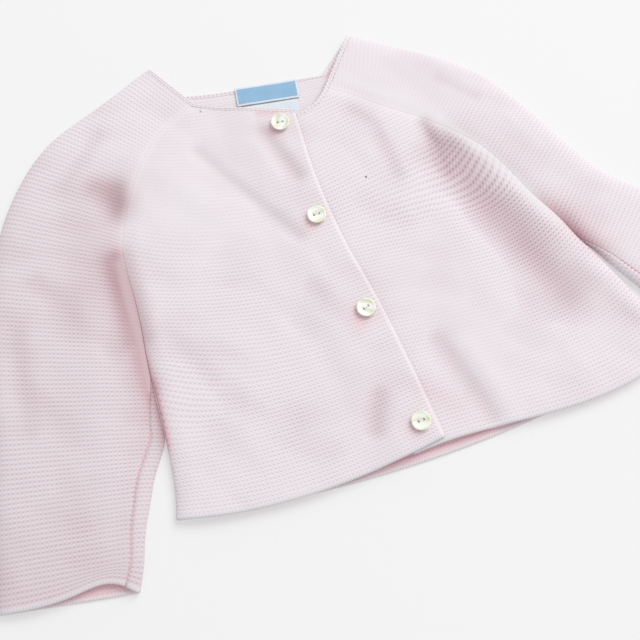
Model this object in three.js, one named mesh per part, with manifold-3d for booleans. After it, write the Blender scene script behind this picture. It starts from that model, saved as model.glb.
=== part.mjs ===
import * as THREE from "three";
import Module from "manifold-3d";

// A baby cardigan in garter stitch, buttoned and laid flat on a table, in millimetres.
// +Y runs up the centre front to the neck, +X to the wearer's left, +Z up from the table.

const wasm = await Module();
wasm.setup();
const { Manifold } = wasm;

// Driving dimensions
const CLOTH = 2; // wall of the garter-stitch cloth
const SEAM_GAP = 0.3; // between two pieces sewn edge to edge
const UNDER_LAYER = CLOTH / 2; // middle of the layer that rests on the table
const FOLD_HEIGHT = 3.2; // middle of the cloth at the outermost line of a folded edge
const ROLL_TOP = 10; // how far in from a folded edge the top layer has risen
const ROLL_UNDER = 3; // how far in from a folded edge the under layer touches the table
const LAP_HEIGHT = CLOTH + 0.35; // rise of the front that laps on top
const LAP_START = -46; // where that rise begins, across the front
const LAP_END = -22; // where the two fronts lie fully on each other
const LABEL_THICKNESS = 0.9;
const EDGING_WIDTH = 2.7;
const EDGING_THICKNESS = 2;
const BUTTON_RADIUS = 5.75;
const BUTTON_THICKNESS = 2.2;
const BUTTON_RIM = 1.3; // width of the raised rim
const BUTTON_DISH = 0.55; // depth of the dished middle
const HOLE_RADIUS = 0.6;
const HOLE_OFFSET = 1.5; // of each of the two holes from the middle
const PINK = 0xe8dde4;
const PEARL = 0xe4eadd;
const BLUE = 0x9ec0dd;
const WHITE = 0xe6ecf2;

// A table with named columns, as one object a row.
const table = (names, rows) =>
  rows.map((row) => Object.fromEntries(names.split(" ").map((name, i) => [name, row[i]])));

// Height of the top layer's middle above the table, up the garment.
const CROWN = table("y height", [
  [-14, 5.5],
  [20, 6.0],
  [60, 6.5],
  [110, 6.8],
  [170, 6.6],
  [215, 6.0],
  [250, 5.4],
]);

// Largest soft folds: a line from one point to another, how far it spreads and how high it stands.
const FOLDS = table("x1 y1 x2 y2 spread height", [
  [-61, 216, -27, 142, 4.5, -1.0], // thin valley on the wearer's right front
  [-76, 196, -46, 140, 9, 0.5], // swell below it
  [-20, 212, -12, 178, 5, -1.4], // dip beside the first button
  [-24, 36, -33, 20, 6, -1.4], // dip beside the last button
  [-114, 212, -118, 200, 8, -2.6], // crease on the right sleeve, beside its seam
  [-150, 150, -178, 60, 8, 0.5], // swell along the wearer's right sleeve
  [73, 180, 70, 145, 4, -1.6], // crease on the wearer's left front
  [76, 158, 81, 128, 12, -2.3], // long valley beside the wearer's left raglan seam
  [87, 109, 101, 50, 12, -2.3], // the same valley, down to the side
  [60, 120, 62, 60, 9, 0.5], // swell between it and the centre front
  [21, 52, 30, 2, 7, -1.5], // valley at the centre-front hem
  [36, 42, 40, -2, 6, 0.7], // ridge beside it
  [43, 182, 43, 156, 5, -0.7], // shallow dip on the wearer's left front
]);

// Side fold and front raglan seam on the wearer's right, from hem to neck.
// height is the cloth's middle at the edge; open is 0 at a folded side and 1 at a flat seam.
const RIGHT_SIDE = [
  [-151, 19, FOLD_HEIGHT, 0],
  [-146, 34, FOLD_HEIGHT, 0],
  [-141, 59, FOLD_HEIGHT, 0],
  [-137, 85, FOLD_HEIGHT, 0],
  [-135.5, 98, FOLD_HEIGHT, 0],
];
const RIGHT_FRONT_RAGLAN = [
  [-133, 113, 3.6, 0.35],
  [-130, 128, 3.9, 0.6],
  [-127.5, 145, 4.2, 0.8],
  [-126, 160, 4.6, 0.92],
  [-123, 177, 5.0, 1],
  [-114, 195, 5.6, 1],
  [-105, 209, 5.7, 1],
  [-95, 222, 5.6, 1],
  [-87, 230, 5.4, 1],
  [-77, 238, 5.2, 1],
  [-65, 243, 5.0, 1],
  [-53, 247, 4.8, 1],
];
const RIGHT_BACK_RAGLAN = [
  [-131, 122, 2.0, 0.55],
  [-122, 150, UNDER_LAYER, 1],
  [-108, 180, UNDER_LAYER, 1],
  [-90, 210, UNDER_LAYER, 1],
  [-74, 233, UNDER_LAYER, 1],
  [-57, 256, UNDER_LAYER, 1],
];

// The same lines on the wearer's left.
const LEFT_SIDE = [
  [148, -2, FOLD_HEIGHT, 0],
  [143, 14, FOLD_HEIGHT, 0],
  [137, 36, FOLD_HEIGHT, 0],
  [130, 60, FOLD_HEIGHT, 0],
  [124, 78, FOLD_HEIGHT, 0],
];
const LEFT_FRONT_RAGLAN = [
  [121.5, 86, 3.8, 0.4],
  [118, 96, 4.6, 0.8],
  [111, 113, 5.4, 1],
  [104, 136, 5.9, 1],
  [97, 153, 6.0, 1],
  [84, 171, 6.0, 1],
  [71, 185, 5.9, 1],
  [57, 198, 5.8, 1],
  [46, 209, 5.7, 1],
  [37, 218, 5.5, 1],
  [29, 225, 5.2, 1],
];
const LEFT_BACK_RAGLAN = [
  [120, 100, 2.0, 0.6],
  [112, 126, UNDER_LAYER, 1],
  [98, 153, UNDER_LAYER, 1],
  [80, 180, UNDER_LAYER, 1],
  [57, 209, UNDER_LAYER, 1],
  [31, 235, UNDER_LAYER, 1],
];

// Inner fold of each sleeve, from the armpit to the cuff.
const RIGHT_SLEEVE_INNER = [
  [-137.3, 85, FOLD_HEIGHT, 0],
  [-139.8, 73, FOLD_HEIGHT, 0],
  [-143.5, 61, FOLD_HEIGHT, 0],
  [-153, 45.5, FOLD_HEIGHT, 0],
  [-161, 32, FOLD_HEIGHT, 0],
  [-168, 20, FOLD_HEIGHT, 0],
  [-175, 4, FOLD_HEIGHT, 0],
  [-182, -9, FOLD_HEIGHT, 0],
];
const LEFT_SLEEVE_INNER = [
  [129, 67, FOLD_HEIGHT, 0],
  [135, 52, FOLD_HEIGHT, 0],
  [143, 34, FOLD_HEIGHT, 0],
  [152, 16, FOLD_HEIGHT, 0],
  [161, -3, FOLD_HEIGHT, 0],
  [173, -28, FOLD_HEIGHT, 0],
];

// Fronts, a row per section from hem to neck: x and y at the centre-front edge, distance along
// the side and raglan line, and how far the knit rows sag a third and two thirds of the way.
const RIGHT_FRONT_ROWS = table("share x y edge sagNear sagFar", [
  [0, 1, 2, 0, -7, -8],
  [0.1, 1, 23, 22, -6, -6.5],
  [0.2, 1, 45, 47, -4.5, -5],
  [0.4, 0, 88, 95, -4, -4],
  [0.6, -3, 131, 142, -4, -3],
  [0.8, -2, 174, 185, -2.5, -2],
  [1, 3, 216, 265, -1, -2],
]);
const LEFT_FRONT_ROWS = table("share x y edge sagNear sagFar", [
  [0, -19, 0, 0, -4.5, -10.5],
  [0.1, -19, 21, 21, -3.5, -8],
  [0.2, -19, 43, 42, -2.5, -6],
  [0.4, -19, 86, 90, -3.5, -7],
  [0.6, -19, 129, 138, -3.5, -5.5],
  [0.8, -19, 172, 187, -3, -6],
  [1, -19, 214, 263, -3, -6],
]);

// Back, from hem to neck: distances along both edges, and the sag of the rows between them.
const BACK_ROWS = table("share right left sagNear sagFar", [
  [0, 0, 0, -13, -13],
  [0.3, 78, 80, -7, -8],
  [0.65, 165, 172, -3, -3],
  [1, 259, 270, -2, -1],
]);

// Sleeves, from neck to cuff: distances along the front and back edges, the outer fold,
// the height of the top layer and how far the seam sits up on the top layer.
const RIGHT_SLEEVE_ROWS = table("share front back x y height seam", [
  [0, 0, 0, -70, 282, 4.9, 0],
  [0.1, 30, 28, -105, 270, 5.8, 0],
  [0.2, 59, 56, -141, 258, 6.4, 0],
  [0.3, 86, 86, -168, 237, 6.7, 0],
  [0.4, 115, 116, -190, 208, 6.9, 0],
  [0.5, 150, 148, -208, 172, 6.9, 0],
  [0.6, 183, 179, -220, 134, 6.9, 0],
  [0.7, 216, 212, -229, 98, 6.8, 6.5],
  [0.8, 245, 241, -238, 65, 6.6, 8],
  [0.9, 272, 268, -246, 37, 6.4, 6.5],
  [1, 301, 297, -254, 10, 6.0, 5],
]);
const LEFT_SLEEVE_ROWS = table("share front back x y height seam", [
  [0, 0, 0, 57, 254, 5.0, 0],
  [0.1, 27, 30, 81, 234, 5.8, 0],
  [0.2, 54, 58, 103, 216, 6.3, 0],
  [0.3, 82, 87, 121, 194, 6.6, 0],
  [0.4, 112, 118, 134, 166, 6.7, 0],
  [0.5, 146, 153, 146, 134, 6.7, 0],
  [0.6, 180, 186, 158, 108, 6.7, 0],
  [0.7, 208, 214, 178, 84, 6.7, 4],
  [0.8, 237, 243, 199, 60, 6.6, 5],
  [0.9, 267, 273, 220, 34, 6.4, 5],
  [1, 297, 303, 238, 6, 6.0, 5],
]);

// Buttons, from the neck down: place on the front and turn of the two holes in degrees.
const BUTTONS = table("name x y turn", [
  ["button_1", -8, 213, -13],
  ["button_2", -12, 149, -5],
  ["button_3", -9, 86, 17],
  ["button_4", -8, 15, 0],
]);

// Labels inside the back neck: middle, size and turn in degrees.
const LABELS = table("name x y width height turn colour", [
  ["neck_label", -6.5, 238.7, 38.5, 12.6, -13.5, BLUE],
  ["care_label", -10.5, 217.9, 33, 28, -13.5, WHITE],
]);

const clamp = THREE.MathUtils.clamp;
const lerp = THREE.MathUtils.lerp;
const smooth = (value, from, to) => THREE.MathUtils.smoothstep(value, from, to);

// A smooth curve through the rows of a table, by the column that says how far along each row is.
function curve(rows, along) {
  const names = Object.keys(rows[0]);
  const slope = (name, i) => {
    const before = rows[Math.max(i - 1, 0)];
    const after = rows[Math.min(i + 1, rows.length - 1)];
    return (after[name] - before[name]) / (after[along] - before[along]);
  };
  return (distance) => {
    const d = clamp(distance, rows[0][along], rows[rows.length - 1][along]);
    let i = 0;
    while (i < rows.length - 2 && d > rows[i + 1][along]) i++;
    const span = rows[i + 1][along] - rows[i][along];
    const t = (d - rows[i][along]) / span;
    const a = 1 - 3 * t * t + 2 * t * t * t;
    const b = (t - 2 * t * t + t * t * t) * span;
    const c = (t * t * t - t * t) * span;
    const value = (name) =>
      a * rows[i][name] + b * slope(name, i) + (1 - a) * rows[i + 1][name] + c * slope(name, i + 1);
    return Object.fromEntries(names.map((name) => [name, value(name)]));
  };
}

// An edge line of the cloth: its place, height, openness and sideways direction at a distance.
// side is 1 where the outside lies to the right of the direction of travel, and -1 to the left.
function edgeLine(points, side) {
  const rows = table("x y height open", points);
  rows.forEach((row, i) => {
    const last = rows[i - 1];
    row.along = last ? last.along + Math.hypot(row.x - last.x, row.y - last.y) : 0;
  });
  const at = curve(rows, "along");
  const length = rows[rows.length - 1].along;
  return (distance) => {
    const d = clamp(distance, 0, length);
    const here = at(d);
    const before = at(d - 1);
    const after = at(d + 1);
    const run = Math.hypot(after.x - before.x, after.y - before.y);
    const tilt = clamp(here.open, 0, 1) * (Math.PI / 2);
    return {
      x: here.x,
      y: here.y,
      height: here.height,
      open: clamp(here.open, 0, 1),
      outX: (side * (after.y - before.y)) / run,
      outY: (-side * (after.x - before.x)) / run,
      sideways: Math.cos(tilt),
      upright: Math.sin(tilt),
    };
  };
}

// The middle of the cloth where it meets its neighbour, half a gap back from the shared line.
function meeting(edge, inward) {
  const back = inward * (SEAM_GAP / 2 + edge.sideways * (CLOTH / 2));
  return { x: edge.x + edge.outX * back, y: edge.y + edge.outY * back };
}

const crown = curve(CROWN, "y");

// Height that the soft folds add at a place.
function relief(x, y) {
  let sum = 0;
  for (const fold of FOLDS) {
    const dx = fold.x2 - fold.x1;
    const dy = fold.y2 - fold.y1;
    const t = clamp(((x - fold.x1) * dx + (y - fold.y1) * dy) / (dx * dx + dy * dy), 0, 1);
    const away = Math.hypot(x - fold.x1 - t * dx, y - fold.y1 - t * dy) / fold.spread;
    sum += fold.height * Math.exp(-away * away);
  }
  return sum;
}

// Height of a top layer that rises from its edge to its full height over ROLL_TOP.
function rollTop(inward, edgeHeight, fullHeight, open) {
  const t = 1 - clamp(inward / ROLL_TOP, 0, 1);
  const round = Math.sqrt(1 - t * t);
  const slope = 1 - t * t;
  return edgeHeight + (fullHeight - edgeHeight) * lerp(round, slope, open);
}

// Height of the under layer, which curls up to its edge over ROLL_UNDER.
function rollUnder(inward, edgeHeight) {
  const t = 1 - clamp(inward / ROLL_UNDER, 0, 1);
  return UNDER_LAYER + (edgeHeight - UNDER_LAYER) * (1 - Math.sqrt(1 - t * t));
}

// Distances from a folded edge that follow its roll evenly, then go on in equal steps.
function steps(reach, count, length, more) {
  const list = [];
  for (let i = 0; i <= count; i++) list.push(reach * (1 - Math.cos((i / count) * (Math.PI / 2))));
  for (let i = 1; i <= more; i++) list.push(reach + ((length - reach) * i) / more);
  return list;
}

// A bow between two ends, by its offsets a third and two thirds of the way.
const bow = (u, near, far) => 13.5 * u * (1 - u) * (near * (2 / 3 - u) + far * (u - 1 / 3));

// A mesh from corner points and faces, turned so that its faces look out.
function solid(name, points, faces, colour) {
  let volume = 0;
  for (const [a, b, c] of faces)
    volume += points[a].dot(new THREE.Vector3().crossVectors(points[b], points[c]));
  const turned = volume < 0 ? faces.map(([a, b, c]) => [a, c, b]) : faces;
  const geometry = new THREE.BufferGeometry();
  geometry.setAttribute(
    "position",
    new THREE.Float32BufferAttribute(
      points.flatMap((p) => [p.x, p.y, p.z]),
      3,
    ),
  );
  geometry.setIndex(turned.flat());
  geometry.computeVertexNormals();
  const material = new THREE.MeshStandardMaterial({ color: colour, roughness: 0.9 });
  const mesh = new THREE.Mesh(geometry, material);
  mesh.name = name;
  return mesh;
}

// Directions square to a grid of points; up says which way the grid's middle looks.
function facing(grid, up) {
  const rows = grid.length;
  const columns = grid[0].length;
  const at = (i, j) => grid[clamp(i, 0, rows - 1)][clamp(j, 0, columns - 1)];
  const square = (i, j) => {
    const along = new THREE.Vector3().subVectors(at(i + 1, j), at(i - 1, j));
    const across = new THREE.Vector3().subVectors(at(i, j + 1), at(i, j - 1));
    return along.cross(across).normalize();
  };
  const middle = square(Math.floor(rows / 2), Math.floor(columns * 0.4));
  const sign = middle.z * up > 0 ? 1 : -1;
  return grid.map((row, i) => row.map((_, j) => square(i, j).multiplyScalar(sign)));
}

// Cloth of one thickness on a grid of middle points, closed all round; the table stops it.
function cloth(name, grid, directions) {
  const rows = grid.length;
  const columns = grid[0].length;
  const points = [];
  for (const layer of [CLOTH / 2, -CLOTH / 2])
    grid.forEach((row, i) =>
      row.forEach((p, j) => {
        const q = p.clone().addScaledVector(directions[i][j], layer);
        q.z = Math.max(q.z, 0);
        points.push(q);
      }),
    );
  const at = (layer, i, j) => (layer * rows + i) * columns + j;
  const faces = [];
  const quad = (a, b, c, d) => faces.push([a, b, c], [a, c, d]);
  for (let i = 0; i + 1 < rows; i++)
    for (let j = 0; j + 1 < columns; j++) {
      quad(at(0, i, j), at(0, i + 1, j), at(0, i + 1, j + 1), at(0, i, j + 1));
      quad(at(1, i, j), at(1, i, j + 1), at(1, i + 1, j + 1), at(1, i + 1, j));
    }
  for (let i = 0; i + 1 < rows; i++) {
    quad(at(0, i, 0), at(1, i, 0), at(1, i + 1, 0), at(0, i + 1, 0));
    const j = columns - 1;
    quad(at(0, i, j), at(0, i + 1, j), at(1, i + 1, j), at(1, i, j));
  }
  for (let j = 0; j + 1 < columns; j++) {
    quad(at(0, 0, j), at(0, 0, j + 1), at(1, 0, j + 1), at(1, 0, j));
    const i = rows - 1;
    quad(at(0, i, j), at(1, i, j), at(1, i, j + 1), at(0, i, j + 1));
  }
  return solid(name, points, faces, PINK);
}

// Turns the cloth's direction near a seam towards the direction that both pieces share there.
function blend(direction, edge, inward, out, up) {
  const near = 1 - clamp(inward / lerp(0.4, 6, clamp(edge.open * 5, 0, 1)), 0, 1);
  const weight = near * near;
  const shared = new THREE.Vector3(
    out * edge.outX * edge.sideways,
    out * edge.outY * edge.sideways,
    up * edge.upright,
  );
  direction.lerp(shared, weight).normalize();
}

// One front: from the centre-front edge to the side fold and raglan seam.
function front(name, rows, line, lapped, sections) {
  const section = curve(rows, "share");
  const grid = [];
  const edges = [];
  for (let i = 0; i <= sections; i++) {
    const row = section(i / sections);
    const edge = line(row.edge);
    const end = meeting(edge, -1);
    const length = Math.hypot(row.x - end.x, row.y - end.y);
    const inward = steps(ROLL_TOP, 5, length, 13).reverse();
    edges.push({ edge, inward });
    grid.push(
      inward.map((w) => {
        const u = 1 - w / length;
        const x = lerp(row.x, end.x, u);
        const y = lerp(row.y, end.y, u) + bow(u, row.sagNear, row.sagFar);
        const folds = relief(x, y) * smooth(w, 0, 12);
        const lap = lapped ? LAP_HEIGHT * smooth(x, LAP_START, LAP_END) : 0;
        const full = crown(y).height;
        const base = edge.height + (SEAM_GAP / 2) * (1 - edge.open);
        return new THREE.Vector3(x, y, rollTop(w, base, full, edge.open) + folds + lap);
      }),
    );
  }
  const directions = facing(grid, 1);
  edges.forEach(({ edge, inward }, i) =>
    inward.forEach((w, j) => blend(directions[i][j], edge, w, 1, 1)),
  );
  return { mesh: cloth(name, grid, directions), grid, directions };
}

// The back, flat on the table from one side fold to the other.
function back(name, rightLine, leftLine, sections) {
  const section = curve(BACK_ROWS, "share");
  const grid = [];
  const edges = [];
  for (let i = 0; i <= sections; i++) {
    const row = section(i / sections);
    const right = rightLine(row.right);
    const left = leftLine(row.left);
    const from = meeting(right, -1);
    const to = meeting(left, -1);
    const length = Math.hypot(from.x - to.x, from.y - to.y);
    const half = steps(ROLL_UNDER, 3, length / 2, 6);
    const across = [...half, ...half.slice(0, -1).reverse().map((w) => length - w)];
    edges.push({ right, left, across, length });
    grid.push(
      across.map((w) => {
        const u = w / length;
        const near = u < 0.5 ? right : left;
        const base = near.height - (SEAM_GAP / 2) * (1 - near.open);
        return new THREE.Vector3(
          lerp(from.x, to.x, u),
          lerp(from.y, to.y, u) + bow(u, row.sagNear, row.sagFar),
          rollUnder(Math.min(w, length - w), base),
        );
      }),
    );
  }
  const directions = facing(grid, -1);
  edges.forEach(({ right, left, across, length }, i) =>
    across.forEach((w, j) => {
      blend(directions[i][j], right, w, 1, -1);
      blend(directions[i][j], left, length - w, 1, -1);
    }),
  );
  return { mesh: cloth(name, grid, directions), grid, directions };
}

// One sleeve: over the top from the front edge, round the outer fold and back underneath.
function sleeve(name, rows, frontLine, backLine, sections) {
  const section = curve(rows, "share");
  const grid = [];
  const edges = [];
  for (let i = 0; i <= sections; i++) {
    const share = i / sections;
    const row = section(share);
    const front = frontLine(row.front);
    const behind = backLine(row.back);
    const from = meeting(front, 1);
    const to = meeting(behind, 1);
    const reach = Math.hypot(row.x - front.x, row.y - front.y);
    const fold = {
      x: row.x - ((row.x - front.x) / reach) * (CLOTH / 2),
      y: row.y - ((row.y - front.y) / reach) * (CLOTH / 2),
    };
    const topLength = Math.hypot(fold.x - from.x, fold.y - from.y);
    const underLength = Math.hypot(fold.x - to.x, fold.y - to.y);
    // The top layer's cuff gapes a little, most of all near the seam.
    const gape = (w) => {
      const past = 1 - (1 - w / topLength) ** 3;
      return 7 * smooth(share, 0.93, 1) * Math.sin(Math.PI * past);
    };
    const topHeight = (w, open, base) => {
      const outer = rollTop(topLength - w, FOLD_HEIGHT, row.height, 0);
      return rollTop(w, base, row.height, open) + outer - row.height;
    };
    const onTop = (w) => {
      const u = w / topLength;
      const x = lerp(from.x, fold.x, u);
      const y = lerp(from.y, fold.y, u) + gape(w);
      const folds = relief(x, y) * smooth(w, 0, 12) * smooth(topLength - w, 0, 12);
      return new THREE.Vector3(x, y, topHeight(w, front.open, front.height) + folds);
    };
    // The seam's angle round the inner fold, and the half gap on each side of it.
    const seam = Math.max(row.seam, 0) * (1 - front.open);
    const angle = Math.acos(1 - seam / ROLL_TOP);
    const run = Math.hypot(ROLL_TOP * Math.sin(angle), (row.height - FOLD_HEIGHT) * Math.cos(angle));
    const halfGap = ((SEAM_GAP / 2) * (1 - front.open)) / run;
    const underRun = angle > 0.1 ? run : FOLD_HEIGHT - UNDER_LAYER;
    const underGap = ((SEAM_GAP / 2) * (1 - behind.open)) / underRun;
    const inner = [];
    for (let k = 0; k <= 4; k++) {
      const turn = lerp(angle + halfGap, Math.PI / 2, k / 4);
      inner.push(ROLL_TOP * (1 - Math.cos(turn)));
    }
    const outer = steps(ROLL_TOP, 5, topLength / 2, 2).map((w) => topLength - w);
    const top = [...inner, topLength / 4 + ROLL_TOP / 2, ...outer.reverse()];
    const line = top.map(onTop);
    const base = behind.height;
    const underWidths = steps(ROLL_UNDER, 3, underLength - ROLL_UNDER, 3).slice(1);
    for (const w of underWidths) {
      const u = w / underLength;
      line.push(
        new THREE.Vector3(
          lerp(fold.x, to.x, u),
          lerp(fold.y, to.y, u),
          rollUnder(w, FOLD_HEIGHT) + rollUnder(underLength - w, base) - UNDER_LAYER,
        ),
      );
    }
    for (let k = 1; k <= 5; k++) {
      const turn = lerp(-Math.PI / 2, angle - underGap, k / 5);
      const below = turn <= 0;
      const away = (below ? ROLL_UNDER : ROLL_TOP) * (1 - Math.cos(turn));
      const u = away / (below ? underLength : topLength);
      const height = below ? rollUnder(away, base) : topHeight(away, front.open, FOLD_HEIGHT);
      const y = lerp(to.y, fold.y, u) + (below ? 0 : gape(away));
      line.push(new THREE.Vector3(lerp(to.x, fold.x, u), y, height));
    }
    edges.push({ front, behind, top, seam });
    grid.push(line);
  }
  const directions = facing(grid, 1);
  edges.forEach(({ front, behind, top, seam }, i) => {
    if (seam > 0) return;
    top.forEach((w, j) => blend(directions[i][j], front, w, -1, 1));
    const last = grid[i].length - 1;
    const end = grid[i][last];
    for (let j = top.length + 2; j <= last; j++) {
      const w = grid[i][j].distanceTo(end);
      blend(directions[i][j], behind, w, -1, -1);
    }
  });
  return { mesh: cloth(name, grid, directions), grid, directions };
}

// The narrow edging round the neck: a flat rope along the pieces' top edges.
function edging(name, stations) {
  const points = [];
  const faces = [];
  const corners = 6;
  for (const { place, out, face } of stations)
    for (let k = 0; k < corners; k++) {
      const turn = ((k + 0.5) / corners) * 2 * Math.PI;
      points.push(
        place
          .clone()
          .addScaledVector(out, (EDGING_WIDTH / 2) * Math.cos(turn))
          .addScaledVector(face, (EDGING_THICKNESS / 2) * Math.sin(turn)),
      );
    }
  const last = stations.length - 1;
  for (let i = 0; i < last; i++)
    for (let k = 0; k < corners; k++) {
      const a = i * corners + k;
      const b = i * corners + ((k + 1) % corners);
      faces.push([a, b, b + corners], [a, b + corners, a + corners]);
    }
  for (let k = 1; k + 1 < corners; k++) {
    faces.push([0, k + 1, k]);
    faces.push([last * corners, last * corners + k, last * corners + k + 1]);
  }
  return solid(name, points, faces, PINK);
}

// Stations of the edging along one end of a piece's grid, in order from first to last column.
function along(piece, end, skip) {
  const { grid, directions } = piece;
  const edge = end === "last" ? grid.length - 1 : 0;
  const before = end === "last" ? edge - 1 : 1;
  const list = [];
  grid[edge].forEach((p, j) => {
    if (skip(j, grid[edge].length)) return;
    const face = directions[edge][j].clone();
    const out = new THREE.Vector3().subVectors(p, grid[before][j]);
    out.addScaledVector(face, -out.dot(face)).normalize();
    const place = p.clone().addScaledVector(out, SEAM_GAP + EDGING_WIDTH / 2);
    list.push({ place, out, face });
  });
  return list;
}

// A two-hole button with a raised rim and a dished middle, seated on a place of the cloth.
function button(row, piece) {
  const inside = BUTTON_RADIUS - BUTTON_RIM;
  const top = BUTTON_THICKNESS;
  const profile = [
    [0, 0],
    [BUTTON_RADIUS * 0.78, 0],
    [BUTTON_RADIUS * 0.95, 0.45],
    [BUTTON_RADIUS, 1.1],
    [BUTTON_RADIUS - 0.15, top - 0.35],
    [BUTTON_RADIUS - 0.5, top],
    [BUTTON_RADIUS - 0.9, top],
    [inside, top - 0.3],
    [inside - 0.7, top - BUTTON_DISH],
    [0, top - BUTTON_DISH - 0.1],
  ];
  let body = Manifold.revolve([profile], 24);
  for (const side of [-1, 1]) {
    const hole = Manifold.cylinder(4, HOLE_RADIUS, HOLE_RADIUS, 10).translate([
      side * HOLE_OFFSET,
      0,
      -1,
    ]);
    body = body.subtract(hole);
  }
  const made = body.getMesh();
  const points = [];
  for (let i = 0; i < made.vertProperties.length; i += made.numProp)
    points.push(new THREE.Vector3(...made.vertProperties.slice(i, i + 3)));
  const faces = [];
  for (let i = 0; i < made.triVerts.length; i += 3) faces.push([...made.triVerts.slice(i, i + 3)]);
  const mesh = solid(row.name, points, faces, PEARL);

  // The cloth's facing under the button, and the height that clears all of the cloth there.
  const under = [];
  piece.grid.forEach((line, i) =>
    line.forEach((p, j) => {
      const top = p.clone().addScaledVector(piece.directions[i][j], CLOTH / 2);
      const away = Math.hypot(top.x - row.x, top.y - row.y);
      if (away < 2.2 * BUTTON_RADIUS) under.push({ top, face: piece.directions[i][j], away });
    }),
  );
  const normal = new THREE.Vector3();
  for (const { face, away } of under) normal.addScaledVector(face, Math.exp(-away / 4));
  normal.normalize();
  const place = new THREE.Vector3(row.x, row.y, 0);
  const lift = Math.max(
    ...under.map(({ top, away }) =>
      away < 1.9 * BUTTON_RADIUS ? new THREE.Vector3().subVectors(top, place).dot(normal) : 0,
    ),
  );
  mesh.position.copy(place.addScaledVector(normal, lift + SEAM_GAP));
  const tilt = new THREE.Quaternion().setFromUnitVectors(new THREE.Vector3(0, 0, 1), normal);
  const turn = new THREE.Quaternion().setFromAxisAngle(
    new THREE.Vector3(0, 0, 1),
    THREE.MathUtils.degToRad(row.turn),
  );
  mesh.quaternion.copy(tilt.multiply(turn));
  return mesh;
}

// A flat label on the back, inside the neck.
function label(row) {
  const shape = new THREE.BoxGeometry(row.width, row.height, LABEL_THICKNESS);
  const material = new THREE.MeshStandardMaterial({ color: row.colour, roughness: 0.8 });
  const mesh = new THREE.Mesh(shape, material);
  mesh.name = row.name;
  mesh.position.set(row.x, row.y, CLOTH + SEAM_GAP + LABEL_THICKNESS / 2);
  mesh.rotation.z = THREE.MathUtils.degToRad(row.turn);
  return mesh;
}

const bodyFrontRight = edgeLine([...RIGHT_SIDE, ...RIGHT_FRONT_RAGLAN], -1);
const bodyBackRight = edgeLine([...RIGHT_SIDE, ...RIGHT_BACK_RAGLAN], -1);
const bodyFrontLeft = edgeLine([...LEFT_SIDE, ...LEFT_FRONT_RAGLAN], 1);
const bodyBackLeft = edgeLine([...LEFT_SIDE, ...LEFT_BACK_RAGLAN], 1);

// A sleeve's edge line: the raglan seam from the neck to the armpit, then the inner fold.
const sleeveLine = (side, raglan, inner, outside) =>
  edgeLine([...[...raglan].reverse(), side[side.length - 1], ...inner], outside);

const rightFront = front("front_right", RIGHT_FRONT_ROWS, bodyFrontRight, true, 34);
const leftFront = front("front_left", LEFT_FRONT_ROWS, bodyFrontLeft, false, 34);
const backPanel = back("back", bodyBackRight, bodyBackLeft, 28);
const rightSleeve = sleeve(
  "sleeve_right",
  RIGHT_SLEEVE_ROWS,
  sleeveLine(RIGHT_SIDE, RIGHT_FRONT_RAGLAN, RIGHT_SLEEVE_INNER, 1),
  sleeveLine(RIGHT_SIDE, RIGHT_BACK_RAGLAN, RIGHT_SLEEVE_INNER, 1),
  32,
);
const leftSleeve = sleeve(
  "sleeve_left",
  LEFT_SLEEVE_ROWS,
  sleeveLine(LEFT_SIDE, LEFT_FRONT_RAGLAN, LEFT_SLEEVE_INNER, -1),
  sleeveLine(LEFT_SIDE, LEFT_BACK_RAGLAN, LEFT_SLEEVE_INNER, -1),
  32,
);

const everyColumn = () => false;
const ends = (j, count) => j < 2 || j > count - 3;
const neck = [
  ...along(rightFront, "last", (j, count) => j > count - 2),
  ...along(rightSleeve, "first", everyColumn),
  ...along(backPanel, "last", ends),
  ...along(leftSleeve, "first", everyColumn).reverse(),
  ...along(leftFront, "last", (j, count) => j > count - 2).reverse(),
];

const group = new THREE.Group();
group.name = "baby_cardigan";
group.add(backPanel.mesh, leftFront.mesh, rightFront.mesh, rightSleeve.mesh, leftSleeve.mesh);
group.add(edging("neck_edging", neck));
for (const row of LABELS) group.add(label(row));
for (const row of BUTTONS) group.add(button(row, rightFront));

// The origin is the middle of the underside.
const box = new THREE.Box3().setFromObject(group, true);
const middle = box.getCenter(new THREE.Vector3());
group.position.set(-middle.x, -middle.y, -box.min.z);
group.updateMatrixWorld(true);

export default group;
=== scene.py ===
import math

import bpy
import numpy as np
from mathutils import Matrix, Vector


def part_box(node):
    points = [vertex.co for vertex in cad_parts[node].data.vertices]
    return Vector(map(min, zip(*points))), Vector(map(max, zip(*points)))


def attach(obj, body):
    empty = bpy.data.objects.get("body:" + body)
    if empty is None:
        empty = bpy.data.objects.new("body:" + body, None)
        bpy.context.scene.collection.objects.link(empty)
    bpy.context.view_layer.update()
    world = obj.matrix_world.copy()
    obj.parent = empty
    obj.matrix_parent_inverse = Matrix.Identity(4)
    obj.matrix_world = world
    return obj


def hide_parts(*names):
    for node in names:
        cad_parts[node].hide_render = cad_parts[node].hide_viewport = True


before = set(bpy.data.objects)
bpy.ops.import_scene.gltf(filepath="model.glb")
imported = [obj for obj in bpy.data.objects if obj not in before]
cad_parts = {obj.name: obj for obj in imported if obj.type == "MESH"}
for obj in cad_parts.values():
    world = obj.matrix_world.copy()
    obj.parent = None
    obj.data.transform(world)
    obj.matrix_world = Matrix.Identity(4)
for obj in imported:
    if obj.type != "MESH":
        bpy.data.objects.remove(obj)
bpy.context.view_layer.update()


# The wearer's right front
# A flat garter-stitch panel in pale pink cotton, knitted up from a cast-on hem. It laps over
# the other front, its outer side rolls down to the side seam, and its raglan edge is sewn to
# the sleeve. Sizes are in millimetres from the centre-front hem, the same as in the solids.
CLOTH = 2.0  # thickness of the knitted wall
SEAM = 0.1  # gap between two pieces along a seam
UNDER_LAYER = CLOTH / 2  # middle height of a wall that lies on the table
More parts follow.
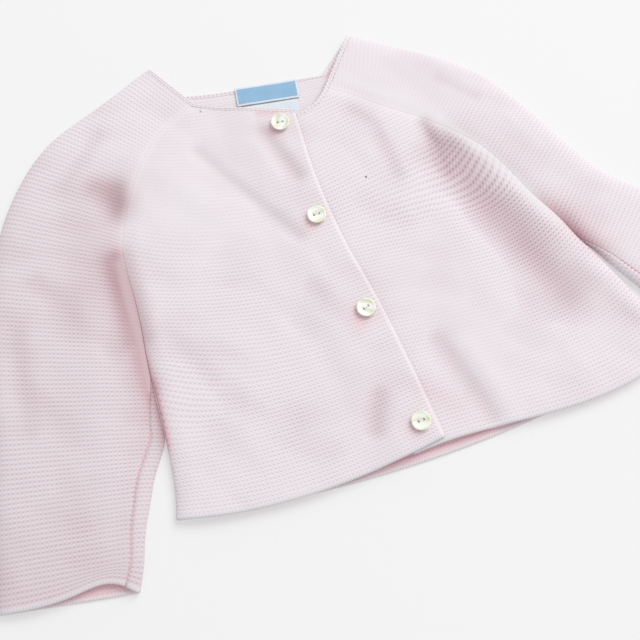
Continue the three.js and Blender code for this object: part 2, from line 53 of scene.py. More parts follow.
FOLD_HEIGHT = 3.2  # middle height of the wall at a side fold
ROLL_TOP = 10.0  # how far in from a fold the top layer goes on rising
ROLL_UNDER = 3.0  # the same for the layer on the table
LAP_HEIGHT = CLOTH + 0.35  # rise of the front that laps on top
LAP_START = -46.0  # where that rise begins, across the front
LAP_END = -22.0  # where the two fronts lie fully on each other
MIDDLE = (8.015, -127.346)  # shift from the garment's own axes to the part's
FRONT_LENGTH = 222  # hem to neck along a front
RIDGE_PITCH = 2.5
STITCH_PITCH = 2.35
RIDGE_HEIGHT = 0.14


def table(names, rows):
    """Named columns from rows of numbers."""
    return dict(zip(names.split(), np.array(rows, float).T))


CROWN = table(
    "y height",
    [
        (-14, 5.5),
        (20, 6.0),
        (60, 6.5),
        (110, 6.8),
        (170, 6.6),
        (215, 6.0),
        (250, 5.4),
    ],
)
FOLDS = table(
    "x1 y1 x2 y2 spread height",
    [
        (-61, 216, -27, 142, 4.5, -1.0),  # thin valley on the wearer's right front
        (-76, 196, -46, 140, 9, 0.5),  # swell below it
        (-20, 212, -12, 178, 5, -1.4),  # dip beside the first button
        (-24, 36, -33, 20, 6, -1.4),  # dip beside the last button
        (-114, 212, -118, 200, 8, -2.6),  # crease on the right sleeve, beside its seam
        (-150, 150, -178, 60, 8, 0.5),  # swell along the wearer's right sleeve
        (73, 180, 70, 145, 4, -1.6),  # crease on the wearer's left front
        (76, 158, 81, 128, 12, -2.3),  # long valley beside the left raglan seam
        (87, 109, 101, 50, 12, -2.3),  # the same valley, down to the side
        (60, 120, 62, 60, 9, 0.5),  # swell between it and the centre front
        (21, 52, 30, 2, 7, -1.5),  # valley at the centre-front hem
        (36, 42, 40, -2, 6, 0.7),  # ridge beside it
        (43, 182, 43, 156, 5, -0.7),  # shallow dip on the wearer's left front
    ],
)
# Smaller creases: some follow the photograph, the rest are on hidden stretches.
CREASES = table(
    "x1 y1 x2 y2 spread height",
    [
        (-118, 120, -104, 84, 6, -0.4),
        (-60, 96, -48, 52, 7, 0.35),
        (-98, 70, -70, 40, 8, -0.3),
        (-30, 110, -22, 76, 6, -0.35),
        (36, 206, 44, 190, 4, -0.35),
        (112, 60, 128, 20, 6, -0.45),
        (84, 30, 92, -4, 5, 0.4),
        (-112, 250, -142, 226, 5, -0.4),
        (-176, 176, -150, 120, 7, -0.5),
        (-196, 150, -206, 96, 5, -0.45),
        (-170, 60, -190, 24, 5, 0.4),
        (92, 204, 108, 184, 4, -0.4),
        (120, 164, 128, 140, 4, 0.35),
        (168, 76, 186, 50, 5, -0.5),
        (190, 40, 206, 14, 5, 0.4),
    ],
)
# Painted light and shade where the photograph shows the same yarn darker, pinker or paler
# (painted shade, painted pink shade and a painted pale grey tone), and where its ridges
# are more or less clear.
SPOTS = table(
    "x1 y1 x2 y2 spread shelter blush cool contrast",
    [
        (-90, 200, -35, 215, 32, 0, 0, 0.3, -0.6),  # painted pale top of the wearer's right front
        (-75, 172, -45, 150, 18, 0, 0, 0.3, -0.2),  # painted pale light on the swell below it
        (30, 90, 42, 38, 26, 0, 0, 0, -0.45),  # smooth middle of the wearer's left front
        (90, 158, 110, 92, 20, 0.1, 0, 0, 0.4),  # painted shade in the long valley by the raglan seam
        (60, 232, 95, 205, 24, 0, 0, 0, -0.6),  # stretched shoulder
        (40, 230, 63, 203, 4, 0, 0, 0.75, -0.3),  # painted pale light along the left raglan seam
        (67, 198, 81, 181, 4, 0, 0, 0.75, -0.3),
        (84, 177, 94, 153, 4, 0, 0, 0.75, -0.3),
        (96, 148, 116, 92, 4, 0, 0, 0.6, -0.3),
        (-124, 219, -113, 204, 8, 0.33, 0.08, 0, 0),  # painted shade in the crease on the right sleeve
        (-17, 225, -8, 222, 3, 0.15, 0.4, 0, 0),  # painted shade and pink of a pull above the first button
        (-12, 211, -13, 210, 5, 0.1, 0.45, 0, 0),  # pink shade beside each button
        (-16, 147, -17, 146, 5, 0.05, 0.35, 0, 0),
        (-13, 84, -14, 82, 6, 0.08, 0.45, 0, 0),
        (-12, 13, -13, 12, 5, 0.05, 0.3, 0, 0),
        (21, 52, 30, 2, 9, -0.16, 0, 0, 0),  # less painted shade in the hem's shallow valley
        (2, 30, 14, 14, 8, 0.05, 0.08, 0, 0),  # painted pink shade beside the last button
        (-26, 42, -34, 18, 9, -0.1, 0.06, 0, 0),
        (-61, 216, -27, 142, 5, -0.12, 0, 0, 0),  # the thin valley hardly shades
        (-128, 168, -138, 92, 5, 0.08, 0, 0.5, 0),  # painted grey shade on the rolled side of the body
        (-129, 170, -133, 122, 8, 0.68, 0.12, 0, 0),  # painted shade deep in the fold where the sleeve slips under it
        (-136.5, 110, -137.5, 92, 4.5, 0.5, 0.3, 0, 0),
        (-136.5, 94, -142, 59, 3, 0.4, 0.9, 0, 0),
        (-136, 183, -150, 160, 15, 0.14, 0.02, 0, 0),  # the sleeve's shaded top by the body
    ],
)
RIGHT_SIDE = [
    (-151, 19, FOLD_HEIGHT, 0),
    (-146, 34, FOLD_HEIGHT, 0),
    (-141, 59, FOLD_HEIGHT, 0),
    (-137, 85, FOLD_HEIGHT, 0),
    (-135.5, 98, FOLD_HEIGHT, 0),
]
RIGHT_FRONT_RAGLAN = [
    (-133, 113, 3.6, 0.35),
    (-130, 128, 3.9, 0.6),
    (-127.5, 145, 4.2, 0.8),
    (-126, 160, 4.6, 0.92),
    (-123, 177, 5.0, 1),
    (-114, 195, 5.6, 1),
    (-105, 209, 5.7, 1),
    (-95, 222, 5.6, 1),
    (-87, 230, 5.4, 1),
    (-77, 238, 5.2, 1),
    (-65, 243, 5.0, 1),
    (-53, 247, 4.8, 1),
]
# Where the right sleeve slips under the body's rolled side: shade and pink are painted along it.
RIGHT_GAP = [(-128.5, 176), (-131, 145), (-136, 97), (-142, 54)]
RIGHT_FRONT_ROWS = table(
    "share x y edge sag_near sag_far",
    [
        (0, 1, 2, 0, -7, -8),
        (0.1, 1, 23, 22, -6, -6.5),
        (0.2, 1, 45, 47, -4.5, -5),
        (0.4, 0, 88, 95, -4, -4),
        (0.6, -3, 131, 142, -4, -3),
        (0.8, -2, 174, 185, -2.5, -2),
        (1, 3, 216, 265, -1, -2),
    ],
)


def through(rows, along, at):
    """A smooth curve through the rows of a table."""
    s = rows[along]
    at = np.clip(at, s[0], s[-1])
    i = np.clip(np.searchsorted(s, at, side="left") - 1, 0, len(s) - 2)
    span = s[i + 1] - s[i]
    t = (at - s[i]) / span
    a = 1 - 3 * t**2 + 2 * t**3
    b = (t - 2 * t**2 + t**3) * span
    c = (t**3 - t**2) * span
    low = np.maximum(np.arange(len(s)) - 1, 0)
    high = np.minimum(np.arange(len(s)) + 1, len(s) - 1)
    found = {}
    for name, v in rows.items():
        slope = (v[high] - v[low]) / (s[high] - s[low])
        found[name] = a * v[i] + b * slope[i] + (1 - a) * v[i + 1] + c * slope[i + 1]
    return found


def ease(value, start, end):
    """0 up to the start, 1 past the end, and a smooth rise between them."""
    t = np.clip((value - start) / (end - start), 0, 1)
    return t * t * (3 - 2 * t)


def edge_line(points, side):
    """An edge of the cloth: its place, height, openness and sideways direction."""
    rows = table("x y height open", points)
    steps = np.hypot(np.diff(rows["x"]), np.diff(rows["y"]))
    rows["along"] = np.concatenate([[0], np.cumsum(steps)])

    def at(distance):
        d = np.clip(distance, 0, rows["along"][-1])
        here = through(rows, "along", d)
        before, after = through(rows, "along", d - 1), through(rows, "along", d + 1)
        run = np.hypot(after["x"] - before["x"], after["y"] - before["y"])
        here["open"] = np.clip(here["open"], 0, 1)
        here["out_x"] = side * (after["y"] - before["y"]) / run
        here["out_y"] = -side * (after["x"] - before["x"]) / run
        here["sideways"] = np.cos(here["open"] * math.pi / 2)
        here["upright"] = np.sin(here["open"] * math.pi / 2)
        return here

    return at


def meeting(edge, inward):
    """Where the middle of a wall ends, so that its face meets the seam line."""
    back = inward * (SEAM / 2 + edge["sideways"] * CLOTH / 2)
    return edge["x"] + edge["out_x"] * back, edge["y"] + edge["out_y"] * back


def relief(strokes, x, y, column="height"):
    """What soft strokes, each laid along a short line, add up to at each place."""
    total = np.zeros_like(x)
    names = ("x1", "y1", "x2", "y2", "spread", column)
    for x1, y1, x2, y2, spread, amount in zip(*(strokes[name] for name in names)):
        dx, dy = x2 - x1, y2 - y1
        t = np.clip(((x - x1) * dx + (y - y1) * dy) / (dx * dx + dy * dy), 0, 1)
        away = np.hypot(x - x1 - t * dx, y - y1 - t * dy) / spread
        total += amount * np.exp(-away * away)
    return total


def painted_fold_shade(soft):
    """Painted shade from the folds: above 0 in a valley, where the cloth is painted darker,
    below 0 on a swell, where its stitch gaps are painted lighter.
    """
    return 0.5 * np.clip(-soft / 2.3, 0, 1) ** 0.75 - 0.12 * np.clip(soft / 2, 0, 1)


def beside(x, y, line, reach):
    """Closeness to a line: 1 on it, fading over the reach and towards both its ends."""
    nearest = np.full_like(x, 1e6)
    for (x1, y1), (x2, y2) in zip(line, line[1:]):
        dx, dy = x2 - x1, y2 - y1
        t = np.clip(((x - x1) * dx + (y - y1) * dy) / (dx * dx + dy * dy), 0, 1)
        nearest = np.minimum(nearest, np.hypot(x - x1 - t * dx, y - y1 - t * dy))
    low, high = line[-1][1], line[0][1]
    within = ease(y, low - 8, low + 12) * (1 - ease(y, high - 24, high + 6))
    return np.exp(-nearest / reach) * within


def softness(x, y):
    """The slight unevenness of hand-laid cloth."""
    return (
        0.10 * np.sin(x / 7.3 + 1.1 * np.sin(y / 19.0))
        + 0.09 * np.sin(y / 9.1 + 1.3 * np.sin(x / 15.0) + 0.7)
        + 0.06 * np.sin((x + y) / 4.7 + 2.1 * np.sin((x - y) / 23.0))
    )


def roll_top(inward, edge_height, full_height, openness):
    """Height of a top layer that rises, rounded, from its edge."""
    t = 1 - np.clip(inward / ROLL_TOP, 0, 1)
    rise = (1 - openness) * np.sqrt(1 - t * t) + openness * (1 - t * t)
    return edge_height + (full_height - edge_height) * rise


def roll_under(inward, edge_height):
    """Height of a bottom layer that curls up to its edge."""
    t = 1 - np.clip(inward / ROLL_UNDER, 0, 1)
    return UNDER_LAYER + (edge_height - UNDER_LAYER) * (1 - np.sqrt(1 - t * t))


def bow(u, near, far):
    """How far a row sags between its ends: near a third of the way, far at two thirds."""
    return 13.5 * u * (1 - u) * (near * (2 / 3 - u) + far * (u - 1 / 3))


def facing(grid, up):
    """Directions square to a grid of points, on the outside of the garment."""
    padded = np.pad(grid, ((1, 1), (1, 1), (0, 0)), mode="edge")
    along = padded[2:, 1:-1] - padded[:-2, 1:-1]
    across = padded[1:-1, 2:] - padded[1:-1, :-2]
    square = np.cross(along, across)
    square /= np.linalg.norm(square, axis=2, keepdims=True) + 1e-12
    middle = square[grid.shape[0] // 2, int(grid.shape[1] * 0.4)]
    return square if middle[2] * up > 0 else -square


def turn_to_seam(direction, edge, inward, out, up):
    """Near a seam the cloth's direction turns to the one that both pieces share."""
    reach = 0.4 + 5.6 * np.clip(edge["open"] * 5, 0, 1)
    weight = ((1 - np.clip(inward / reach[:, None], 0, 1)) ** 2)[..., None]
    shared = np.stack(
        [
            out * edge["out_x"] * edge["sideways"],
            out * edge["out_y"] * edge["sideways"],
            up * edge["upright"],
        ],
        axis=1,
    )[:, None, :]
    mixed = direction * (1 - weight) + shared * weight
    return mixed / np.linalg.norm(mixed, axis=2, keepdims=True)


def steps_in(roll, count, length, more):
    """Distances from a folded edge that follow its roll, then go on evenly."""
    near = roll * (1 - np.cos(np.linspace(0, math.pi / 2, count + 1)))
    far = roll + (length[:, None] - roll) * (np.arange(1, more + 1) / more)[None, :]
    return np.concatenate([np.repeat(near[None, :], len(length), 0), far], axis=1)


def knit_wall(name, grid, directions, across, rows_up, free, marks):
    """Garter-stitch cloth: a closed wall with a ridge for every two rows, on both faces.

    across and rows_up are the stitch and row coordinates in millimetres, and free is the
    distance to an edge that isn't sewn, where the cloth is rounded. Each of the marks has one
    value for the outer face and one for the inner face: seam_band where ridges run flat into
    a seam, cast_on on the pale cast-on edge, contrast for how clearly ridges stand out, then
    three of painted light: painted shade, deep in folds and gaps, painted pink shade, where
    light between folds is pink, and a painted pale grey tone on lit bands and shaded sides."""
    marks = {label: [side + 0 * across for side in sides] for label, sides in marks.items()}
    cast_on = marks["cast_on"][0]
    turn = 2 * math.pi * rows_up / RIDGE_PITCH
    crest = (0.5 + 0.5 * np.cos(turn)) ** 0.75
    inner_crest = (0.5 - 0.5 * np.cos(turn)) ** 0.75
    strength = RIDGE_HEIGHT * marks["contrast"][0]
    strength = strength * (1 - 0.75 * marks["seam_band"][0]) * (1 - 0.85 * cast_on)
    round_edge = np.sqrt(1 - (1 - np.clip(free / 1.3, 0.04, 1)) ** 2)
    outer = (CLOTH / 2 + strength * (crest - 0.62) + 0.12 * cast_on) * round_edge
    inner = (CLOTH / 2 + strength * (inner_crest - 0.62)) * round_edge
    points = np.concatenate(
        [
            (grid + directions * outer[..., None]).reshape(-1, 3),
            (grid - directions * inner[..., None]).reshape(-1, 3),
        ]
    )
    points[:, 2] = np.maximum(points[:, 2], 0)
    points[:, 0] += MIDDLE[0]
    points[:, 1] += MIDDLE[1]
    n_rows, n_columns = grid.shape[:2]
    at = np.arange(n_rows * n_columns).reshape(n_rows, n_columns)
    under = at + n_rows * n_columns

    def quads(a, b, c, d):
        return np.stack([a.ravel(), b.ravel(), c.ravel(), d.ravel()], axis=1)

    faces = np.concatenate(
        [
            quads(at[:-1, :-1], at[1:, :-1], at[1:, 1:], at[:-1, 1:]),
            quads(under[:-1, :-1], under[:-1, 1:], under[1:, 1:], under[1:, :-1]),
            quads(at[:-1, 0], under[:-1, 0], under[1:, 0], at[1:, 0]),
            quads(at[:-1, -1], at[1:, -1], under[1:, -1], under[:-1, -1]),
            quads(at[0, :-1], at[0, 1:], under[0, 1:], under[0, :-1]),
            quads(at[-1, :-1], under[-1, :-1], under[-1, 1:], at[-1, 1:]),
        ]
    )
    a, b, c = points[faces[:, 0]], points[faces[:, 1]], points[faces[:, 2]]
    if np.einsum("ij,ij->i", a, np.cross(b, c)).sum() < 0:
        faces = faces[:, ::-1]
    mesh = bpy.data.meshes.new(name)
    mesh.from_pydata((points * 0.001).tolist(), [], faces.tolist())
    mesh.update()
    mesh.shade_smooth()
    for label, sides in marks.items():
        values = np.stack(sides).astype(np.float32).ravel()
        mesh.attributes.new(label, "FLOAT", "POINT").data.foreach_set("value", values)
    stitches = np.stack([across, rows_up], axis=2).reshape(-1, 2)
    stitches = np.concatenate([stitches, stitches + [0, RIDGE_PITCH / 2]]) * 0.001
    loops = np.empty(len(mesh.loops), np.int32)
    mesh.loops.foreach_get("vertex_index", loops)
    uv = mesh.uv_layers.new(name="knit")
    uv.data.foreach_set("uv", stitches[loops].astype(np.float32).ravel())
    cloth = bpy.data.objects.new(name, mesh)
    bpy.context.collection.objects.link(cloth)
    return cloth


class Paint:
    """A procedural material while it is made: its shader's inputs and makers of its nodes."""

    def __init__(self, name, settings):
        self.material = bpy.data.materials.new(name)
        self.material.use_nodes = True
        self.nodes = self.material.node_tree.nodes
        self.links = self.material.node_tree.links
        self.shader = self.nodes["Principled BSDF"]
        for key, value in settings.items():
            self.give(self.shader.inputs[key], value)
        self.here = self.node("TexCoord").outputs["Object"]

    def give(self, socket, value):
        """Links a socket to another node's, or sets it to a number, a vector or a colour."""
        if isinstance(value, bpy.types.NodeSocket):
            self.links.new(value, socket)
        elif socket.type == "RGBA":
            socket.default_value = (*value, 1)
        else:
            socket.default_value = value

    def node(self, kind, inputs=None, **choices):
        made = self.nodes.new("ShaderNode" + kind)
        for key, value in choices.items():
            setattr(made, key, value)
        for key, value in (inputs or {}).items():
            self.give(made.inputs[key], value)
        return made

    def maths(self, operation, *values):
        return self.node("Math", dict(enumerate(values)), operation=operation).outputs[0]

    def within(self, value, top):
        """The value, held between 0 and the top."""
        return self.maths("MINIMUM", self.maths("MAXIMUM", value, 0), top)

    def mix(self, factor, first, second, blend="MIX"):
        inputs = {0: factor, 6: first, 7: second}
        return self.node("Mix", inputs, data_type="RGBA", blend_type=blend).outputs[2]

    def noise(self, scale, detail=2, output="Fac"):
        inputs = {"Vector": self.here, "Scale": scale, "Detail": detail}
        return self.node("TexNoise", inputs).outputs[output]

    def away_from(self, place):
        inputs = {0: self.here, 1: place}
        return self.node("VectorMath", inputs, operation="DISTANCE").outputs["Value"]

    def finish(self, colour, height=None, strength=0, distance=0):
        """Gives the shader its colour and, where a height is given, its bump."""
        self.give(self.shader.inputs["Base Color"], colour)
        if height is not None:
            inputs = {"Height": height, "Strength": strength, "Distance": distance}
            self.give(self.shader.inputs["Normal"], self.node("Bump", inputs).outputs[0])
        return self.material


def knit_material(name, specks):
    """Soft cotton yarn: pale crests, pinker valleys and a bump for every stitch, with the painted
    shade, painted pink shade and glow, and painted pale grey tone that the cloth's marks give.
    """
    settings = {
        "Roughness": 0.92,
        "Sheen Weight": 0.25,
        "Sheen Roughness": 0.6,
        "Specular IOR Level": 0.25,
        # a faint painted glow, its pink colour set below
        "Emission Strength": 0.09,
    }
    paint = Paint(name, settings)
    maths, mix = paint.maths, paint.mix
    knit = paint.node("UVMap", uv_map="knit").outputs[0]
    along, up, _ = paint.node("SeparateXYZ", {0: knit}).outputs
    cast_on, seam_band, contrast, shelter, blush, cool = (
        paint.node("Attribute", attribute_name=label).outputs["Fac"]
        for label in ("cast_on", "seam_band", "contrast", "shelter", "blush", "cool")
    )

    # Stitches wander a little, and their dark gaps stand in a checked pattern over the ridges.
    wander = paint.noise(130, output="Color")
    stray_up, stray_along, _ = paint.node("SeparateColor", {0: wander}).outputs
    row = maths("DIVIDE", up, RIDGE_PITCH * 0.001)
    row = maths("ADD", row, maths("MULTIPLY", stray_up, 0.35))
    column = maths("DIVIDE", along, STITCH_PITCH * 0.001)
    column = maths("ADD", column, maths("MULTIPLY", stray_along, 0.5))
    ridge = maths("MULTIPLY", maths("COSINE", maths("MULTIPLY", row, 2 * math.pi)), 0.34)
    rising = maths("COSINE", maths("MULTIPLY", maths("ADD", row, column), 2 * math.pi))
    falling = maths("COSINE", maths("MULTIPLY", maths("SUBTRACT", row, column), 2 * math.pi))
    checks = maths("ADD", maths("MULTIPLY", rising, 0.17), maths("MULTIPLY", falling, 0.23))
    depth = maths("MULTIPLY", maths("SUBTRACT", checks, ridge), contrast)
    ticks = maths("SINE", maths("MULTIPLY", along, 2 * math.pi / 0.0016))
    cloud = paint.noise(38, 3)
    yarn = paint.noise(900, 4)

    gap = maths("MAXIMUM", maths("ADD", depth, 0.5), 0)
    gap = maths("MULTIPLY", maths("MULTIPLY", gap, gap), 0.72)
    gap = maths("MULTIPLY", gap, maths("ADD", cloud, 0.5))
    gap = maths("MULTIPLY", gap, maths("SUBTRACT", 1, maths("MULTIPLY", seam_band, 0.6)))
    # The stitch gaps darken further where shade is painted, and lighten on painted swells.
    gap = maths("MULTIPLY", gap, maths("ADD", maths("MULTIPLY", shelter, 1.6), 1))
    colour = mix(paint.within(gap, 1), (0.89, 0.845, 0.872), (0.60, 0.44, 0.51))
    colour = mix(maths("MULTIPLY", yarn, 0.12), colour, (0.66, 0.55, 0.60))
    # Painted light and shade: pink shade between folds, dark pink shade deep in folds and gaps,
    # and a pale grey tone on lit raised bands and on the shaded rolled side of the body.
    blush = paint.within(blush, 1)
    colour = mix(blush, colour, (0.97, 0.60, 0.66), "MULTIPLY")
    deep = paint.within(maths("MULTIPLY", shelter, 0.72), 0.9)
    colour = mix(deep, colour, (0.36, 0.175, 0.205))
    cool = paint.within(maths("MULTIPLY", cool, 0.7), 0.8)
    colour = mix(cool, colour, (0.84, 0.83, 0.845))
    loops = maths("ADD", maths("MULTIPLY", ticks, 0.3), 0.3)
    pale = mix(loops, (0.80, 0.78, 0.80), (0.66, 0.61, 0.65))
    colour = mix(maths("MULTIPLY", cast_on, 0.8), colour, pale)
    for place, radius, speck_colour in specks:
        inside = maths("LESS_THAN", paint.away_from(place), radius)
        colour = mix(maths("MULTIPLY", inside, 0.8), colour, speck_colour)
    # Painted glow: the cloth emits pink light where pink shade is painted, standing in for light
    # that scatters from yarn to yarn and keeps the narrow gaps between folds pink.
    glow = mix(blush, (0, 0, 0), (1.0, 0.42, 0.50))
    paint.give(paint.shader.inputs["Emission Color"], glow)

    height = maths("MULTIPLY", depth, -1.1)
    height = maths("MULTIPLY", height, maths("SUBTRACT", 1, cast_on))
    height = maths("MULTIPLY", height, maths("SUBTRACT", 1, maths("MULTIPLY", seam_band, 0.5)))
    height = maths("ADD", height, maths("MULTIPLY", maths("MULTIPLY", ticks, cast_on), 0.4))
    height = maths("ADD", height, maths("MULTIPLY", yarn, 0.7))
    return paint.finish(colour, height, 0.45, 0.0003)


def place_on_table(x, y, z):
    """A place in the garment's own millimetres, as metres in the part's frame."""
    return ((x + MIDDLE[0]) * 0.001, (y + MIDDLE[1]) * 0.001, z * 0.001)


def knit_front(rows, line, lapped, n_rows, n_across):
    """One front's grid, from the centre-front edge to its side fold and raglan seam."""
    share = np.linspace(0, 1, n_rows)
    row = through(rows, "share", share)
    edge = line(row["edge"])
    end_x, end_y = meeting(edge, -1)
    length = np.hypot(row["x"] - end_x, row["y"] - end_y)
    inward = steps_in(ROLL_TOP, 12, length, n_across)[:, ::-1]
    u = 1 - inward / length[:, None]
    x = row["x"][:, None] * (1 - u) + end_x[:, None] * u
    y = row["y"][:, None] * (1 - u) + end_y[:, None] * u
    y += bow(u, row["sag_near"][:, None], row["sag_far"][:, None])
    full = through(CROWN, "y", y)["height"]
    base = edge["height"] + (SEAM / 2) * (1 - edge["open"])
    z = roll_top(inward, base[:, None], full, edge["open"][:, None])
    soft = relief(FOLDS, x, y) + relief(CREASES, x, y) + softness(x, y)
    z += soft * ease(inward, 0, 12)
    if lapped:
        z += LAP_HEIGHT * ease(x, LAP_START, LAP_END)
    grid = np.stack([x, y, z], axis=2)
    directions = turn_to_seam(facing(grid, 1), edge, inward, 1, 1)
    across = np.hypot(x - x[:, :1], y - y[:, :1])
    return grid, directions, across, share, inward, edge, soft


def contrast_of(x, y):
    """How clearly the ridges stand out at each place."""
    return np.clip(0.62 + 0.7 * relief(SPOTS, x, y, "contrast"), 0.12, 1.1)


def front_marks(x, y, across, share, inward, edge, soft, gap):
    """The distance to a front's free edges, and the marks on it."""
    at_seam = np.exp(-((inward / 2.8) ** 2)) * np.clip(edge["open"] * 3, 0, 1)[:, None]
    at_slip_stitch = np.exp(-((across / 1.8) ** 2))
    flat_edge = np.clip(at_seam + at_slip_stitch, 0, 1)
    hem = (share * FRONT_LENGTH)[:, None] + 0 * across
    cast_on = 1 - ease(hem, 1.8, 3.0)
    # Painted shade from the folds, the spots and the gap where the sleeve slips under the body,
    # and painted pink from the spots and that gap. Inside, the front is painted in shade except
    # near its hem, and painted pink near the hem.
    near_gap = beside(x, y, gap, 1.5)
    shelter = painted_fold_shade(soft) + relief(SPOTS, x, y, "shelter") + 0.3 * near_gap
    marks = {
        "seam_band": (flat_edge, flat_edge),
        "cast_on": (cast_on, cast_on),
        "contrast": (contrast_of(x, y), 0.5),
        "shelter": (shelter, 0.8 * ease(hem, 4, 20)),
        "blush": (relief(SPOTS, x, y, "blush") + near_gap, 0.55 - 0.55 * ease(hem, 4, 20)),
        "cool": (relief(SPOTS, x, y, "cool"), 0),
    }
    return np.minimum(across, hem), marks


right_line = edge_line(RIGHT_SIDE + RIGHT_FRONT_RAGLAN, -1)
grid, directions, across, share, inward, edge, soft = knit_front(
    RIGHT_FRONT_ROWS, right_line, True, 505, 76
)
x, y = grid[..., 0], grid[..., 1]
# The rows bend up away from the centre front, the more so the higher they are, and follow the
# cast-on edge at the hem. Those near the hem lie closer together.
climb = 0.0016 * x**2 * (0.25 + ease(y, 30, 110) + 0.55 * ease(y, 140, 210))
by_share = share[:, None] * 209
rows_up = by_share + (y - 2 - climb - by_share) * ease(share, 0.03, 0.3)[:, None]
rows_up = 1.06 * rows_up + 0.14 * np.minimum(rows_up, 60)
free, marks = front_marks(x, y, across, share, inward, edge, soft, RIGHT_GAP)
right_front_grid, right_front_directions = grid, directions
front_right = knit_wall("knit_front_right", grid, directions, across, rows_up, free, marks)
knit_pink = knit_material(
    "pink_garter_stitch",
    [
        (place_on_table(-49, 241, 6), 0.0009, (0.52, 0.27, 0.33)),
        (place_on_table(28, 226.5, 6), 0.0009, (0.52, 0.27, 0.33)),
        (place_on_table(25, 161, 7.6), 0.0007, (0.12, 0.07, 0.08)),
    ],
)
front_right.data.materials.append(knit_pink)
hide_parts("front_right")
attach(front_right, "root")


# The wearer's left front
# The mate of the first panel. Its button edge passes 20 mm under the other front, where the
# buttons are sewn on, and its hem lifts a little from the table.
LEFT_SIDE = [
    (148, -2, FOLD_HEIGHT, 0),
    (143, 14, FOLD_HEIGHT, 0),
    (137, 36, FOLD_HEIGHT, 0),
    (130, 60, FOLD_HEIGHT, 0),
    (124, 78, FOLD_HEIGHT, 0),
]
LEFT_FRONT_RAGLAN = [
    (121.5, 86, 3.8, 0.4),
    (118, 96, 4.6, 0.8),
    (111, 113, 5.4, 1),
    (104, 136, 5.9, 1),
    (97, 153, 6.0, 1),
    (84, 171, 6.0, 1),
    (71, 185, 5.9, 1),
    (57, 198, 5.8, 1),
    (46, 209, 5.7, 1),
    (37, 218, 5.5, 1),
    (29, 225, 5.2, 1),
]
# Where the left sleeve slips under the body's rolled side: shade and pink are painted along it.
LEFT_GAP = [(112, 112), (121, 88), (131, 58)]
LEFT_FRONT_ROWS = table(
    "share x y edge sag_near sag_far",
    [
        (0, -19, 0, 0, -4.5, -10.5),
        (0.1, -19, 21, 21, -3.5, -8),
        (0.2, -19, 43, 42, -2.5, -6),
        (0.4, -19, 86, 90, -3.5, -7),
        (0.6, -19, 129, 138, -3.5, -5.5),
        (0.8, -19, 172, 187, -3, -6),
        (1, -19, 214, 263, -3, -6),
    ],
)
left_line = edge_line(LEFT_SIDE + LEFT_FRONT_RAGLAN, 1)
grid, directions, across, share, inward, edge, soft = knit_front(
    LEFT_FRONT_ROWS, left_line, False, 495, 76
)
x, y = grid[..., 0], grid[..., 1]
# The rows slope down across the lower half, run up across the upper one, and bend up at the side.
bend = 0.0035 + 0.003 * ease(y, 20, 150)
climb = (0.26 * ease(y, 110, 170) - 0.18) * x + bend * np.maximum(x - 60, 0) ** 2
by_share = share[:, None] * 215
rows_up = by_share + (y - climb - by_share) * ease(share, 0.03, 0.3)[:, None]
rows_up += 0.12 * np.minimum(rows_up, 130)
free, marks = front_marks(x, y, across, share, inward, edge, soft, LEFT_GAP)
left_front_grid, left_front_directions = grid, directions
front_left = knit_wall("knit_front_left", grid, directions, across, rows_up, free, marks)
front_left.data.materials.append(knit_pink)
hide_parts("front_left")
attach(front_left, "root")


# The back
# One wide garter-stitch panel that lies flat on the table under both fronts. Its edges curl up
# to the side seams, and its neck edge shows above the fronts.
RIGHT_BACK_RAGLAN = [
    (-131, 122, 2.0, 0.55),
    (-122, 150, UNDER_LAYER, 1),
    (-108, 180, UNDER_LAYER, 1),
    (-90, 210, UNDER_LAYER, 1),
    (-74, 233, UNDER_LAYER, 1),
    (-57, 256, UNDER_LAYER, 1),
]
LEFT_BACK_RAGLAN = [
    (120, 100, 2.0, 0.6),
    (112, 126, UNDER_LAYER, 1),
    (98, 153, UNDER_LAYER, 1),
    (80, 180, UNDER_LAYER, 1),
    (57, 209, UNDER_LAYER, 1),
    (31, 235, UNDER_LAYER, 1),
]
BACK_ROWS = table(
    "share right left sag_near sag_far",
    [
        (0, 0, 0, -13, -13),
        (0.3, 78, 80, -7, -8),
        (0.65, 165, 172, -3, -3),
        (1, 259, 270, -2, -1),
    ],
)
share = np.linspace(0, 1, 430)
row = through(BACK_ROWS, "share", share)
right = edge_line(RIGHT_SIDE + RIGHT_BACK_RAGLAN, -1)(row["right"])
left = edge_line(LEFT_SIDE + LEFT_BACK_RAGLAN, 1)(row["left"])
from_x, from_y = meeting(right, -1)
to_x, to_y = meeting(left, -1)
length = np.hypot(from_x - to_x, from_y - to_y)
half = steps_in(ROLL_UNDER, 5, length / 2, 30)
inward = np.concatenate([half, length[:, None] - half[:, -2::-1]], axis=1)
u = inward / length[:, None]
x = from_x[:, None] * (1 - u) + to_x[:, None] * u
y = from_y[:, None] * (1 - u) + to_y[:, None] * u
y += bow(u, row["sag_near"][:, None], row["sag_far"][:, None])
right_base = (right["height"] - (SEAM / 2) * (1 - right["open"]))[:, None]
left_base = (left["height"] - (SEAM / 2) * (1 - left["open"]))[:, None]
z = np.where(
    u < 0.5,
    roll_under(inward, right_base),
    roll_under(length[:, None] - inward, left_base),
)
grid = np.stack([x, y, z], axis=2)
directions = facing(grid, -1)
directions = turn_to_seam(directions, right, inward, 1, -1)
directions = turn_to_seam(directions, left, length[:, None] - inward, 1, -1)
rows_up = share[:, None] * 250 + 0 * x
cast_on = 1 - ease(rows_up, 1.8, 3.0)
back_grid, back_directions = grid, directions
